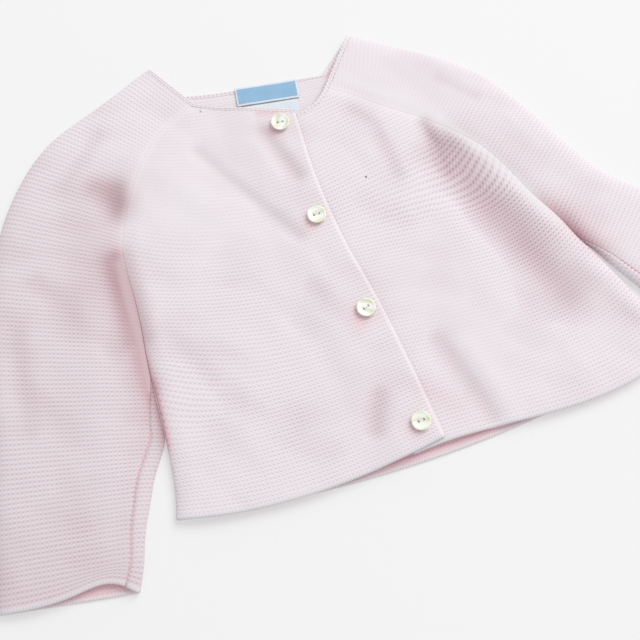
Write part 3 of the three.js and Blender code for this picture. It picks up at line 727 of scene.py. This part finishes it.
# Inside, the back is painted in shade except near its hem and neck, and painted pink near the hem;
# outside, it is painted pink along the right underarm gap.
middle = ease(rows_up, 4, 20) - ease(rows_up, 208, 226)
marks = {
    "seam_band": (0, 0),
    "cast_on": (cast_on, cast_on),
    "contrast": (0.62, 0.5),
    "shelter": (0, 0.75 * middle),
    "blush": (beside(x, y, RIGHT_GAP, 3), 0.55 - 0.55 * ease(rows_up, 8, 20)),
    "cool": (0, 0),
}
back = knit_wall("knit_back", grid, directions, inward, rows_up, rows_up, marks)
back.data.materials.append(knit_pink)
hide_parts("back")
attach(back, "root")


# The sleeves
# Each is one raglan sleeve, knitted flat and sewn into a tube by an underarm seam. It lies
# folded: over the top from the front seam, round the outer fold, and back under on the table.
RIGHT_SLEEVE_INNER = [
    (-137.3, 85, FOLD_HEIGHT, 0),
    (-139, 73, FOLD_HEIGHT, 0),
    (-141.2, 61.5, FOLD_HEIGHT, 0),
    (-153, 45.5, FOLD_HEIGHT, 0),
    (-161, 32, FOLD_HEIGHT, 0),
    (-168, 20, FOLD_HEIGHT, 0),
    (-175, 4, FOLD_HEIGHT, 0),
    (-182, -9, FOLD_HEIGHT, 0),
]
LEFT_SLEEVE_INNER = [
    (129, 67, FOLD_HEIGHT, 0),
    (135, 52, FOLD_HEIGHT, 0),
    (143, 34, FOLD_HEIGHT, 0),
    (152, 16, FOLD_HEIGHT, 0),
    (161, -3, FOLD_HEIGHT, 0),
    (173, -28, FOLD_HEIGHT, 0),
]
RIGHT_SLEEVE_ROWS = table(
    "share front back x y height seam",
    [
        (0, 0, 0, -70, 282, 4.9, 0),
        (0.1, 30, 28, -105, 270, 5.8, 0),
        (0.2, 59, 56, -141, 258, 6.4, 0),
        (0.3, 86, 86, -168, 237, 6.7, 0),
        (0.4, 115, 116, -190, 208, 6.9, 0),
        (0.5, 150, 148, -208, 172, 6.9, 0),
        (0.6, 183, 179, -220, 134, 6.9, 0),
        (0.7, 216, 212, -229, 98, 6.8, 6.5),
        (0.8, 245, 241, -238, 65, 6.6, 8),
        (0.9, 272, 268, -246, 37, 6.4, 6.5),
        (1, 301, 297, -254, 10, 6.0, 5),
    ],
)
LEFT_SLEEVE_ROWS = table(
    "share front back x y height seam",
    [
        (0, 0, 0, 57, 254, 5.0, 0),
        (0.1, 27, 30, 81, 234, 5.8, 0),
        (0.2, 54, 58, 103, 216, 6.3, 0),
        (0.3, 82, 87, 121, 194, 6.6, 0),
        (0.4, 112, 118, 134, 166, 6.7, 0),
        (0.5, 146, 153, 146, 134, 6.7, 0),
        (0.6, 180, 186, 158, 108, 6.7, 0),
        (0.7, 208, 214, 178, 84, 6.7, 4),
        (0.8, 237, 243, 199, 60, 6.6, 5),
        (0.9, 267, 273, 220, 34, 6.4, 5),
        (1, 297, 303, 238, 6, 6.0, 5),
    ],
)


def knit_sleeve(name, rows, front_line, back_line, n_rows, gap, depth, slant):
    """A sleeve, all round. gap is the line where it slips under the body's rolled side, with
    painted shade and pink along it; depth is the strength of a broad painted shade over the
    sleeve, and slant turns its rows at the neck."""
    share = np.linspace(0, 1, n_rows)
    row = through(rows, "share", share)
    front, behind = front_line(row["front"]), back_line(row["back"])
    from_x, from_y = (v[:, None] for v in meeting(front, 1))
    to_x, to_y = (v[:, None] for v in meeting(behind, 1))
    reach = np.hypot(row["x"] - front["x"], row["y"] - front["y"])
    fold_x = (row["x"] - (row["x"] - front["x"]) / reach * CLOTH / 2)[:, None]
    fold_y = (row["y"] - (row["y"] - front["y"]) / reach * CLOTH / 2)[:, None]
    top_length = np.hypot(fold_x - from_x, fold_y - from_y)
    under_length = np.hypot(fold_x - to_x, fold_y - to_y)
    full = row["height"][:, None]
    front_open = front["open"][:, None]
    cuff = 7 * ease(share, 0.93, 1)[:, None]

    def gape(u):
        return cuff * np.sin(math.pi * (1 - (1 - u) ** 3))

    def top_height(w, base):
        outer = roll_top(top_length - w, FOLD_HEIGHT, full, 0)
        return roll_top(w, base, full, front_open) + outer - full

    seam = (np.maximum(row["seam"], 0) * (1 - front["open"]))[:, None]
    angle = np.arccos(1 - seam / ROLL_TOP)
    run = np.hypot(ROLL_TOP * np.sin(angle), (full - FOLD_HEIGHT) * np.cos(angle))
    half_gap = (SEAM / 2) * (1 - front_open) / run
    under_run = np.where(angle > 0.1, run, FOLD_HEIGHT - UNDER_LAYER)
    under_gap = (SEAM / 2) * (1 - behind["open"][:, None]) / under_run

    turns = angle + half_gap + (math.pi / 2 - angle - half_gap) * np.linspace(0, 1, 11)
    inner = ROLL_TOP * (1 - np.cos(turns))
    flat = ROLL_TOP + (top_length - 2 * ROLL_TOP) * np.linspace(0, 1, 26)[None, 1:-1]
    turns = np.linspace(math.pi / 2, 0, 11)[None, :]
    outer = top_length - ROLL_TOP * (1 - np.cos(turns))
    top = np.concatenate([inner, flat, outer], axis=1)
    u = top / top_length
    top_x = from_x * (1 - u) + fold_x * u
    top_y = from_y * (1 - u) + fold_y * u + gape(u)
    soft = relief(FOLDS, top_x, top_y) + relief(CREASES, top_x, top_y) + softness(top_x, top_y)
    top_z = top_height(top, front["height"][:, None])
    top_z += soft * ease(top, 0, 12) * ease(top_length - top, 0, 12)

    turns = np.linspace(0, math.pi / 2, 6)[None, 1:]
    near = ROLL_UNDER * (1 - np.cos(turns)) + 0 * under_length
    far = ROLL_UNDER + (under_length - 2 * ROLL_UNDER) * np.linspace(0, 1, 16)[None, 1:]
    under = np.concatenate([near, far], axis=1)
    u = under / under_length
    under_x = fold_x * (1 - u) + to_x * u
    under_y = fold_y * (1 - u) + to_y * u
    base = behind["height"][:, None]
    under_z = roll_under(under, FOLD_HEIGHT) + roll_under(under_length - under, base) - UNDER_LAYER

    turns = -math.pi / 2 + (angle - under_gap + math.pi / 2) * np.linspace(0, 1, 11)[None, 1:]
    below = turns <= 0
    away = np.where(below, ROLL_UNDER, ROLL_TOP) * (1 - np.cos(turns))
    u = away / np.where(below, under_length, top_length)
    end_x = to_x * (1 - u) + fold_x * u
    end_y = to_y * (1 - u) + fold_y * u + np.where(below, 0, gape(u))
    end_z = np.where(below, roll_under(away, base), top_height(away, FOLD_HEIGHT))

    grid = np.stack(
        [
            np.concatenate([top_x, under_x, end_x], axis=1),
            np.concatenate([top_y, under_y, end_y], axis=1),
            np.concatenate([top_z, under_z, end_z], axis=1),
        ],
        axis=2,
    )
    directions = facing(grid, 1)
    count = top.shape[1]
    sewn = (row["seam"] <= 0)[:, None, None]
    turned = turn_to_seam(directions[:, :count], front, top, -1, 1)
    directions[:, :count] = np.where(sewn, turned, directions[:, :count])
    from_end = np.linalg.norm(grid[:, count + 2 :] - grid[:, -1:], axis=2)
    turned = turn_to_seam(directions[:, count + 2 :], behind, from_end, -1, -1)
    directions[:, count + 2 :] = np.where(sewn, turned, directions[:, count + 2 :])

    step = np.linalg.norm(np.diff(grid, axis=1), axis=2)
    arc = np.concatenate([np.zeros((n_rows, 1)), np.cumsum(step, axis=1)], axis=1)
    # Stitches are counted from the outer fold, so that they line up along it.
    across = arc - arc[:, count - 1 : count] + 200
    middle = (grid[:, 0] + grid[:, count - 1]) / 2
    down = np.concatenate([[0], np.cumsum(np.linalg.norm(np.diff(middle, axis=0), axis=1))])
    from_cuff = down[-1] - down[:, None] + 0 * across
    rows_up = down[:, None] + slant * (across - 200) * (1 - ease(share, 0.05, 0.3))[:, None]
    at_seam = np.exp(-((arc / 2.2) ** 2)) * np.clip(front["open"] * 3, 0, 1)[:, None]
    cast_on = 1 - ease(from_cuff, 1.8, 3.0)
    x, y = grid[..., 0], grid[..., 1]
    on_top = np.arange(grid.shape[1]) < count
    # Painted shade: from the folds and spots on top, along the gap under the body's side, broadly
    # over the sleeve below its shoulder by depth, and towards the cuff.
    shelter = np.zeros(grid.shape[:2])
    shelter[:, :count] = painted_fold_shade(soft)
    shelter += relief(SPOTS, x, y, "shelter") * on_top
    shelter += 1.1 * beside(x, y, gap, 3.5) + depth * ease(share, 0.05, 0.4)[:, None]
    shelter += 0.12 * ease(share, 0.75, 1)[:, None]
    from_ends = np.minimum(down[:, None], from_cuff)
    # Inside, the sleeve is painted in shade except near its ends, and painted pink near its neck
    # and cuff; on top it is painted pink from the spots and along the gap.
    marks = {
        "seam_band": (at_seam, at_seam),
        "cast_on": (cast_on, cast_on),
        "contrast": (0.8 * contrast_of(x, y), 0.5),
        "shelter": (shelter, 0.8 * ease(from_ends, 5, 22)),
        "blush": (
            (relief(SPOTS, x, y, "blush") + 0.5 * beside(x, y, gap, 6)) * on_top,
            0.55 - 0.55 * ease(from_ends, 8, 22),
        ),
        "cool": (relief(SPOTS, x, y, "cool") * on_top, 0),
    }
    sleeve = knit_wall(name, grid, directions, across, rows_up, from_cuff, marks)
    sleeve.data.materials.append(knit_pink)
    return sleeve, grid, directions


def sleeve_edge(side, raglan, inner, outside):
    return edge_line(raglan[::-1] + [side[-1]] + inner, outside)


sleeve_right, right_sleeve_grid, right_sleeve_directions = knit_sleeve(
    "knit_sleeve_right",
    RIGHT_SLEEVE_ROWS,
    sleeve_edge(RIGHT_SIDE, RIGHT_FRONT_RAGLAN, RIGHT_SLEEVE_INNER, 1),
    sleeve_edge(RIGHT_SIDE, RIGHT_BACK_RAGLAN, RIGHT_SLEEVE_INNER, 1),
    600,
    RIGHT_GAP,
    0.17,
    0,
)
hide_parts("sleeve_right")
sleeve_left, left_sleeve_grid, left_sleeve_directions = knit_sleeve(
    "knit_sleeve_left",
    LEFT_SLEEVE_ROWS,
    sleeve_edge(LEFT_SIDE, LEFT_FRONT_RAGLAN, LEFT_SLEEVE_INNER, -1),
    sleeve_edge(LEFT_SIDE, LEFT_BACK_RAGLAN, LEFT_SLEEVE_INNER, -1),
    600,
    LEFT_GAP,
    0.03,
    0.3,
)
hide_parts("sleeve_left")
for sleeve in (sleeve_right, sleeve_left):
    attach(sleeve, "root")


# The neck edging
# A narrow knitted chain that runs once round the neck, picked up along the top edges of the
# fronts, sleeves and back. Its loops lie like small slanting beads.
EDGING_HALF_WIDTH = 1.35
STRAND_OFFSET = 0.62
STRAND_HALF_WIDTH = 0.86
STRAND_HALF_THICKNESS = 1.1
CHAIN_PITCH = 2.6
CHAIN_SWELL = 0.17


def stations(grid, directions, last, columns):
    """Places just past a piece's top edge, with their outward and facing directions."""
    edge, before = (-1, -7) if last else (0, 6)
    face = directions[edge, columns]
    out = grid[edge, columns] - grid[before, columns]
    out -= face * np.einsum("ij,ij->i", out, face)[:, None]
    out /= np.linalg.norm(out, axis=1, keepdims=True)
    place = grid[edge, columns] + out * (0.1 + EDGING_HALF_WIDTH)
    return np.concatenate([place, out, face], axis=1)


def knit_rope(name, path, half_width, half_thickness, pitch, corners, swell, slope):
    """A flattened rope along stations, with slanting swells like chain stitches."""
    step = np.linalg.norm(np.diff(path[:, :3], axis=0), axis=1)
    along = np.concatenate([[0], np.cumsum(step)])
    at = np.arange(0, along[-1], pitch / 6)
    path = np.stack([np.interp(at, along, path[:, i]) for i in range(9)], axis=1)
    kernel = np.ones(5) / 5
    for i in range(9):
        wide = np.pad(path[:, i], 2, mode="edge")
        path[:, i] = np.convolve(wide, kernel, mode="valid")
    place, out, face = path[:, None, :3], path[:, None, 3:6], path[:, None, 6:]
    turn = (np.arange(corners) + 0.5) / corners * 2 * math.pi
    slant = 2 * math.pi * at[:, None] / pitch + np.cos(turn)[None, :] * slope
    size = (1 + swell * np.cos(slant))[..., None]
    ring = out * half_width * np.cos(turn)[None, :, None]
    ring = ring + face * half_thickness * np.sin(turn)[None, :, None]
    points = (place + ring * size).reshape(-1, 3)
    points[:, 2] = np.maximum(points[:, 2], 0)
    points[:, 0] += MIDDLE[0]
    points[:, 1] += MIDDLE[1]
    n = len(at)
    index = np.arange(n * corners).reshape(n, corners)
    following = np.roll(index, -1, axis=1)
    faces = np.stack([index[:-1], following[:-1], following[1:], index[1:]], axis=2)
    faces = faces.reshape(-1, 4).tolist()
    faces += [index[0][::-1].tolist(), index[-1].tolist()]
    mesh = bpy.data.meshes.new(name)
    mesh.from_pydata((points * 0.001).tolist(), [], faces)
    mesh.update()
    mesh.shade_smooth()
    rope = bpy.data.objects.new(name, mesh)
    bpy.context.collection.objects.link(rope)
    bpy.ops.object.select_all(action="DESELECT")
    rope.select_set(True)
    bpy.context.view_layer.objects.active = rope
    bpy.ops.object.mode_set(mode="EDIT")
    bpy.ops.mesh.select_all(action="SELECT")
    bpy.ops.mesh.normals_make_consistent(inside=False)
    bpy.ops.object.mode_set(mode="OBJECT")
    return rope


def yarn_material(name, colour, shade, relief_height=0.0003):
    """Plain cotton yarn for edging and sewing, with fine twisted strands."""
    settings = {"Roughness": 0.9, "Sheen Weight": 0.25, "Specular IOR Level": 0.25}
    paint = Paint(name, settings)
    strands = paint.noise(1400, 4)
    return paint.finish(paint.mix(strands, colour, shade), strands, 0.5, relief_height)


path = np.concatenate(
    [
        stations(grid, directions, last, columns)
        for grid, directions, last, columns in (
            (right_front_grid, right_front_directions, True, slice(0, -3)),
            (right_sleeve_grid, right_sleeve_directions, False, slice(2, -2)),
            (back_grid, back_directions, True, slice(3, -3)),
            (left_sleeve_grid, left_sleeve_directions, False, slice(-3, 1, -1)),
            (left_front_grid, left_front_directions, True, slice(-4, None, -1)),
        )
    ]
)
strands = []
for side in (-1, 1):
    strand = path.copy()
    strand[:, :3] += strand[:, 3:6] * (side * STRAND_OFFSET)
    strands.append(
        knit_rope(
            "neck_chain_edging",
            strand,
            STRAND_HALF_WIDTH,
            STRAND_HALF_THICKNESS,
            CHAIN_PITCH,
            10,
            CHAIN_SWELL,
            side * 1.9,
        )
    )
bpy.ops.object.select_all(action="DESELECT")
for strand in strands:
    strand.select_set(True)
edging = strands[0]
bpy.context.view_layer.objects.active = edging
bpy.ops.object.join()
edging.data.materials.append(
    yarn_material("pink_edging_yarn", (0.89, 0.84, 0.868), (0.81, 0.72, 0.76), 0.00015)
)
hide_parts("neck_edging")
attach(edging, "root")


# The seam stitching
# Fine mattress stitches that draw the pieces together, in pink yarn at both front raglan seams
# and in a deeper pink along the underarm of each sleeve. They sit in the join.
def seam_thread(name, places, faces, radius, swell):
    """A row of stitches through the places, flattened towards the way the cloth faces."""
    out = np.gradient(places, axis=0)
    out = np.cross(faces, out)
    out /= np.linalg.norm(out, axis=1, keepdims=True)
    path = np.concatenate([places, out, faces], axis=1)
    return knit_rope(name, path, radius, radius * 0.7, RIDGE_PITCH, 6, swell, 1.2)


seam_yarn = yarn_material("pink_seam_yarn", (0.80, 0.66, 0.71), (0.66, 0.47, 0.53))
underarm_yarn = yarn_material("pink_underarm_yarn", (0.85, 0.57, 0.60), (0.80, 0.42, 0.46))
for name, line, first, last in (
    ("raglan_stitches_right", right_line, 128, 262),
    ("raglan_stitches_left", left_line, 94, 260),
):
    edge = line(np.linspace(first, last, 300))
    places = np.stack([edge["x"], edge["y"], edge["height"] + 0.5], axis=1)
    faces = np.zeros_like(places)
    faces[:, 2] = 1
    stitches = seam_thread(name, places, faces, 0.42, 0.4)
    stitches.data.materials.append(seam_yarn)
    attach(stitches, "root")
for name, grid, directions in (
    ("underarm_stitches_right", right_sleeve_grid, right_sleeve_directions),
    ("underarm_stitches_left", left_sleeve_grid, left_sleeve_directions),
):
    # The seam comes to the top about halfway down, and its stitches end short of the cuff.
    rows = np.arange(385, 596)
    rise = 0.1 + 0.6 * ease(rows, 385, 425)[:, None]
    places = (grid[rows, 0] + grid[rows, -1]) / 2 + directions[rows, 0] * rise
    stitches = seam_thread(name, places, directions[rows, 0], 0.58, 0.45)
    stitches.data.materials.append(underarm_yarn)
    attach(stitches, "root")


# The labels
# A small woven tape label is sewn inside the back neck: pale blue satin with a near-white
# border, left blank. A plain white satin label hangs from under it, partly below the fronts.
WEFT_PITCH = 0.00042
WARP_PITCH = 0.00034


def tape_material(name, middle_colour, border_colour, half_width, half_height, centre, turn):
    """Woven satin with a border past the half width and half height of its middle."""
    paint = Paint(name, {"Roughness": 0.55, "Sheen Weight": 0.2})
    maths = paint.maths
    lay = {"Location": centre, "Rotation": (0, 0, turn), "Vector": paint.here}
    laid = paint.node("Mapping", lay, vector_type="TEXTURE").outputs[0]
    along, across, _ = paint.node("SeparateXYZ", {0: laid}).outputs
    beyond_x = maths("GREATER_THAN", maths("ABSOLUTE", along), half_width)
    beyond_y = maths("GREATER_THAN", maths("ABSOLUTE", across), half_height)
    border = maths("MAXIMUM", beyond_x, beyond_y)
    weft = maths("SINE", maths("MULTIPLY", across, 2 * math.pi / WEFT_PITCH))
    warp = maths("SINE", maths("MULTIPLY", along, 2 * math.pi / WARP_PITCH))
    weave = maths("MULTIPLY", weft, warp)
    cloud = maths("MULTIPLY", paint.noise(220), 0.25)
    shade = maths("ADD", maths("MULTIPLY", weave, 0.10), cloud)
    tone = paint.mix(border, middle_colour, border_colour)
    colour = paint.mix(shade, tone, (0.72, 0.80, 0.88), "MULTIPLY")
    return paint.finish(colour, weave, 0.4, 0.0001)


def points_of(piece):
    """The corners of a piece's mesh, one a row."""
    points = np.empty(len(piece.data.vertices) * 3)
    piece.data.vertices.foreach_get("co", points)
    return points.reshape(-1, 3)


def put_points(piece, points):
    piece.data.vertices.foreach_set("co", points.ravel())
    piece.data.update()


def apply_modifier(piece, name, kind, **settings):
    modifier = piece.modifiers.new(name, kind)
    for key, value in settings.items():
        setattr(modifier, key, value)
    bpy.ops.object.modifier_apply(modifier=modifier.name)


def tape(name, centre, width, height, turn, thickness, curl):
    """A tape laid on the back: a fine grid, curled a little at its free edge, given thickness."""
    bpy.ops.object.select_all(action="DESELECT")
    bpy.ops.mesh.primitive_grid_add(
        x_subdivisions=48, y_subdivisions=20, size=1, location=(0, 0, 0)
    )
    made = bpy.context.object
    made.name = name
    points = points_of(made)
    u, v = points[:, 0], points[:, 1]
    wave = 0.00008 * np.sin(u * 17 + 0.6) + 0.00006 * np.sin(v * 9 + u * 5)
    lift = curl * np.maximum(np.abs(u) * 2 - 0.75, 0) ** 2 + wave
    x, y = u * width, v * height
    c, s = math.cos(turn), math.sin(turn)
    points[:, 0] = centre[0] + x * c - y * s
    points[:, 1] = centre[1] + x * s + y * c
    points[:, 2] = centre[2] + lift
    put_points(made, points)
    apply_modifier(made, "thickness", "SOLIDIFY", thickness=thickness, offset=0)
    apply_modifier(made, "soft_edge", "BEVEL", width=thickness * 0.3, segments=2)
    made.data.shade_smooth()
    return made


LABEL_TURN = math.radians(-13.5)
neck_centre = place_on_table(-6.5, 238.7, 2.85)
neck_tape = tape("woven_neck_label", neck_centre, 0.0385, 0.0126, LABEL_TURN, 0.0006, 0.001)
blue, near_white = (0.30, 0.52, 0.74), (0.78, 0.85, 0.90)
neck_tape.data.materials.append(
    tape_material("pale_blue_satin", blue, near_white, 0.0183, 0.0051, neck_centre, LABEL_TURN)
)
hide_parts("neck_label")
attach(neck_tape, "root")
care_centre = place_on_table(-10.5, 217.9, 2.7)
care_tape = tape("white_satin_label", care_centre, 0.033, 0.028, LABEL_TURN, 0.0005, 0.0008)
white, selvedge = (0.80, 0.86, 0.92), (0.84, 0.90, 0.94)
care_tape.data.materials.append(
    tape_material("white_satin", white, selvedge, 0.0160, 0.0132, care_centre, LABEL_TURN)
)
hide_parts("care_label")
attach(care_tape, "root")


# The buttons
# Four turned mother-of-pearl buttons with a rolled rim, a dished middle and two drilled holes,
# each sewn on through both holes with a few turns of pale thread.
BUTTON_RADIUS = 0.00575
BUTTON_THICKNESS = 0.0022
BUTTON_FOOT = 0.78  # width of the underside, as a share of the whole
HOLE_RADIUS = 0.00068
HOLE_PLACE = 0.0015  # from the middle
THREAD_RADIUS = 0.00014
# Steps from the rim down into the dish: width and drop of each.
DISH = [
    (0.0010, 0),
    (0.0003, -0.00006),
    (0.0005, -0.00022),
    (0.0007, -0.00012),
    (0.0012, -0.00004),
]
BUTTONS = table(
    "x y turn tint",
    [
        (-8, 213, -13, 0.0),
        (-12, 149, -5, 0.35),
        (-9, 86, 17, 0.7),
        (-8, 15, 0, 0.5),
    ],
)


def pearl_material(name, tint, centre):
    """Polished shell: milky, faintly green, with cloudy bands, a clear gloss and a creamy rim."""
    settings = {
        "Roughness": 0.2,
        "Coat Weight": 0.6,
        "Coat Roughness": 0.08,
        "Subsurface Weight": 0.15,
        "Subsurface Radius": (0.002, 0.002, 0.0015),
    }
    paint = Paint(name, settings)
    lay = {
        "Location": (tint * 0.03, tint * 0.02, 0),
        "Rotation": (0.4, 0.3, 0.9 + 2 * tint),
        "Vector": paint.here,
    }
    laid = paint.node("Mapping", lay).outputs[0]
    wave = {"Scale": 55, "Distortion": 5, "Detail": 3, "Vector": laid}
    bands = paint.node("TexWave", wave).outputs["Fac"]
    ramp = paint.node("ValToRGB", {"Fac": bands})
    ramp.color_ramp.elements[0].color = (0.78, 0.80, 0.63, 1)
    ramp.color_ramp.elements[1].color = (0.97, 0.98, 0.93, 1)
    middle = ramp.color_ramp.elements.new(0.5)
    middle.color = (0.88, 0.92, 0.81, 1)
    away = paint.away_from(centre)
    rim = {"From Min": 0.0042, "From Max": 0.0059, "To Max": 0.45, "Value": away}
    creamy = paint.node("MapRange", rim).outputs[0]
    return paint.finish(paint.mix(creamy, ramp.outputs[0], (0.83, 0.78, 0.55)))


def take_faces(piece, up):
    """Selects only the faces that look up (1) or down (-1), and stays in edit mode."""
    bpy.ops.object.mode_set(mode="EDIT")
    bpy.ops.mesh.select_mode(type="FACE")
    bpy.ops.mesh.select_all(action="DESELECT")
    bpy.ops.object.mode_set(mode="OBJECT")
    for face in piece.data.polygons:
        face.select = face.normal.z * up > 0.9
    bpy.ops.object.mode_set(mode="EDIT")


thread_yarn = yarn_material("pale_button_thread", (0.95, 0.94, 0.88), (0.88, 0.86, 0.79), 0.00005)
for number in range(4):
    node_name = f"button_{number + 1}"
    low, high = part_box(node_name)
    centre = (Vector(low) + Vector(high)) / 2
    away = np.hypot(
        right_front_grid[..., 0] - BUTTONS["x"][number],
        right_front_grid[..., 1] - BUTTONS["y"][number],
    )
    # Each button leans with the cloth around it.
    lean = (right_front_directions * np.exp(-away / 4)[..., None])[away < 12].sum(axis=0)
    lean = Vector(lean).normalized()
    tilt = Vector((0, 0, 1)).rotation_difference(lean).to_matrix()
    spin = math.radians(BUTTONS["turn"][number])

    half = BUTTON_THICKNESS / 2
    bpy.ops.object.select_all(action="DESELECT")
    bpy.ops.mesh.primitive_cylinder_add(
        vertices=56, radius=BUTTON_RADIUS, depth=BUTTON_THICKNESS, location=(0, 0, 0)
    )
    button = bpy.context.object
    button.name = f"pearl_{node_name}"
    take_faces(button, -1)
    bpy.ops.transform.resize(value=(BUTTON_FOOT, BUTTON_FOOT, 1), center_override=(0, 0, 0))
    take_faces(button, 1)
    for width, drop in DISH:
        bpy.ops.mesh.inset(thickness=width, depth=drop)
    bpy.ops.object.mode_set(mode="OBJECT")
    corner = math.radians(45)
    apply_modifier(
        button,
        "rounded_rim",
        "BEVEL",
        width=0.0006,
        segments=5,
        limit_method="ANGLE",
        angle_limit=corner,
    )
    for side in (-1, 1):
        bpy.ops.object.select_all(action="DESELECT")
        bpy.ops.mesh.primitive_cylinder_add(
            vertices=20, radius=HOLE_RADIUS, depth=0.006, location=(side * HOLE_PLACE, 0, 0)
        )
        drill = bpy.context.object
        bpy.ops.object.select_all(action="DESELECT")
        button.select_set(True)
        bpy.context.view_layer.objects.active = button
        cut = {"object": drill, "operation": "DIFFERENCE", "solver": "EXACT"}
        apply_modifier(button, "drilled_hole", "BOOLEAN", **cut)
        bpy.data.objects.remove(drill)
    corner = math.radians(40)
    apply_modifier(
        button,
        "drilled_rim",
        "BEVEL",
        width=0.00008,
        segments=2,
        limit_method="ANGLE",
        angle_limit=corner,
    )
    bpy.ops.object.shade_smooth_by_angle(angle=math.radians(35))

    # Two strands of thread cross the dish from hole to hole and go down each hole.
    bpy.ops.object.select_all(action="DESELECT")
    curve = bpy.data.curves.new(f"thread_{node_name}", "CURVE")
    curve.dimensions = "3D"
    curve.bevel_depth = THREAD_RADIUS
    curve.bevel_resolution = 3
    for offset in (-THREAD_RADIUS, THREAD_RADIUS):
        spline = curve.splines.new("POLY")
        spline.points.add(14)
        for step, point in enumerate(spline.points):
            t = step / 14 * 2 - 1
            down_hole = 0.0016 * max(abs(t) - 0.86, 0) / 0.14
            height = half - 0.0004 + 0.00014 * (1 - t * t) - down_hole
            point.co = (t * 0.00162, offset, height, 1)
    curve.use_fill_caps = True
    thread = bpy.data.objects.new(f"thread_{node_name}", curve)
    bpy.context.collection.objects.link(thread)
    thread.select_set(True)
    bpy.context.view_layer.objects.active = thread
    bpy.ops.object.convert(target="MESH")
    thread = bpy.context.object

    c, s = math.cos(spin), math.sin(spin)
    turned = np.array([[c, s, 0], [-s, c, 0], [0, 0, 1]]) @ np.array(tilt).T
    for piece in (button, thread):
        put_points(piece, points_of(piece) @ turned + np.array(centre))
        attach(piece, "root")
    tint = float(BUTTONS["tint"][number])
    button.data.materials.append(pearl_material(f"pearl_{number + 1}", tint, tuple(centre)))
    thread.data.materials.append(thread_yarn)
    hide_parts(node_name)


# The table and the light
# A plain pale surface under a large soft light, high and to the right in the picture, and the
# camera of a close photograph that looks down at the front.
bpy.ops.object.select_all(action="DESELECT")
bpy.ops.mesh.primitive_plane_add(size=6, location=(0, 0, 0))
floor = bpy.context.object
floor.name = "pale_table"
floor_material = bpy.data.materials.new("pale_table")
floor_material.use_nodes = True
floor_shader = floor_material.node_tree.nodes["Principled BSDF"]
floor_shader.inputs["Base Color"].default_value = (0.5, 0.5, 0.5, 1)
floor_shader.inputs["Emission Color"].default_value = (1, 1, 1, 1)
floor_shader.inputs["Emission Strength"].default_value = 0.4
floor_shader.inputs["Roughness"].default_value = 0.9
floor_shader.inputs["Specular IOR Level"].default_value = 0.1
floor.data.materials.append(floor_material)

bpy.context.scene.view_settings.view_transform = "Standard"
world = bpy.data.worlds.new("studio")
bpy.context.scene.world = world
world.use_nodes = True
world.node_tree.nodes["Background"].inputs["Color"].default_value = (1, 1, 1, 1)
world.node_tree.nodes["Background"].inputs["Strength"].default_value = 0.6


WINDOW = Vector((1.9, 0.95, 2.5))
bpy.ops.object.select_all(action="DESELECT")
bpy.ops.object.light_add(type="AREA", location=WINDOW)
window = bpy.context.object
window.name = "window_light"
window.data.shape = "SQUARE"
window.data.size = 2.2
window.data.energy = 67
window.rotation_euler = (-WINDOW).to_track_quat("-Z", "Y").to_euler()

CAMERA_DISTANCE = 0.575
CAMERA_ELEVATION = math.radians(73)
CAMERA_TURN = math.radians(-23.5)
look_x, look_y, _ = place_on_table(-34.47, 92.66, 0)
back_off = CAMERA_DISTANCE * math.cos(CAMERA_ELEVATION)
bpy.ops.object.camera_add(
    location=(
        look_x + back_off * math.sin(CAMERA_TURN),
        look_y - back_off * math.cos(CAMERA_TURN),
        CAMERA_DISTANCE * math.sin(CAMERA_ELEVATION),
    ),
    rotation=(math.pi / 2 - CAMERA_ELEVATION, 0, CAMERA_TURN),
)
camera = bpy.context.object
camera.name = "photo_camera"
camera.data.sensor_width = 36
camera.data.lens = 56.25
camera.data.clip_start = 0.01
bpy.context.scene.camera = camera
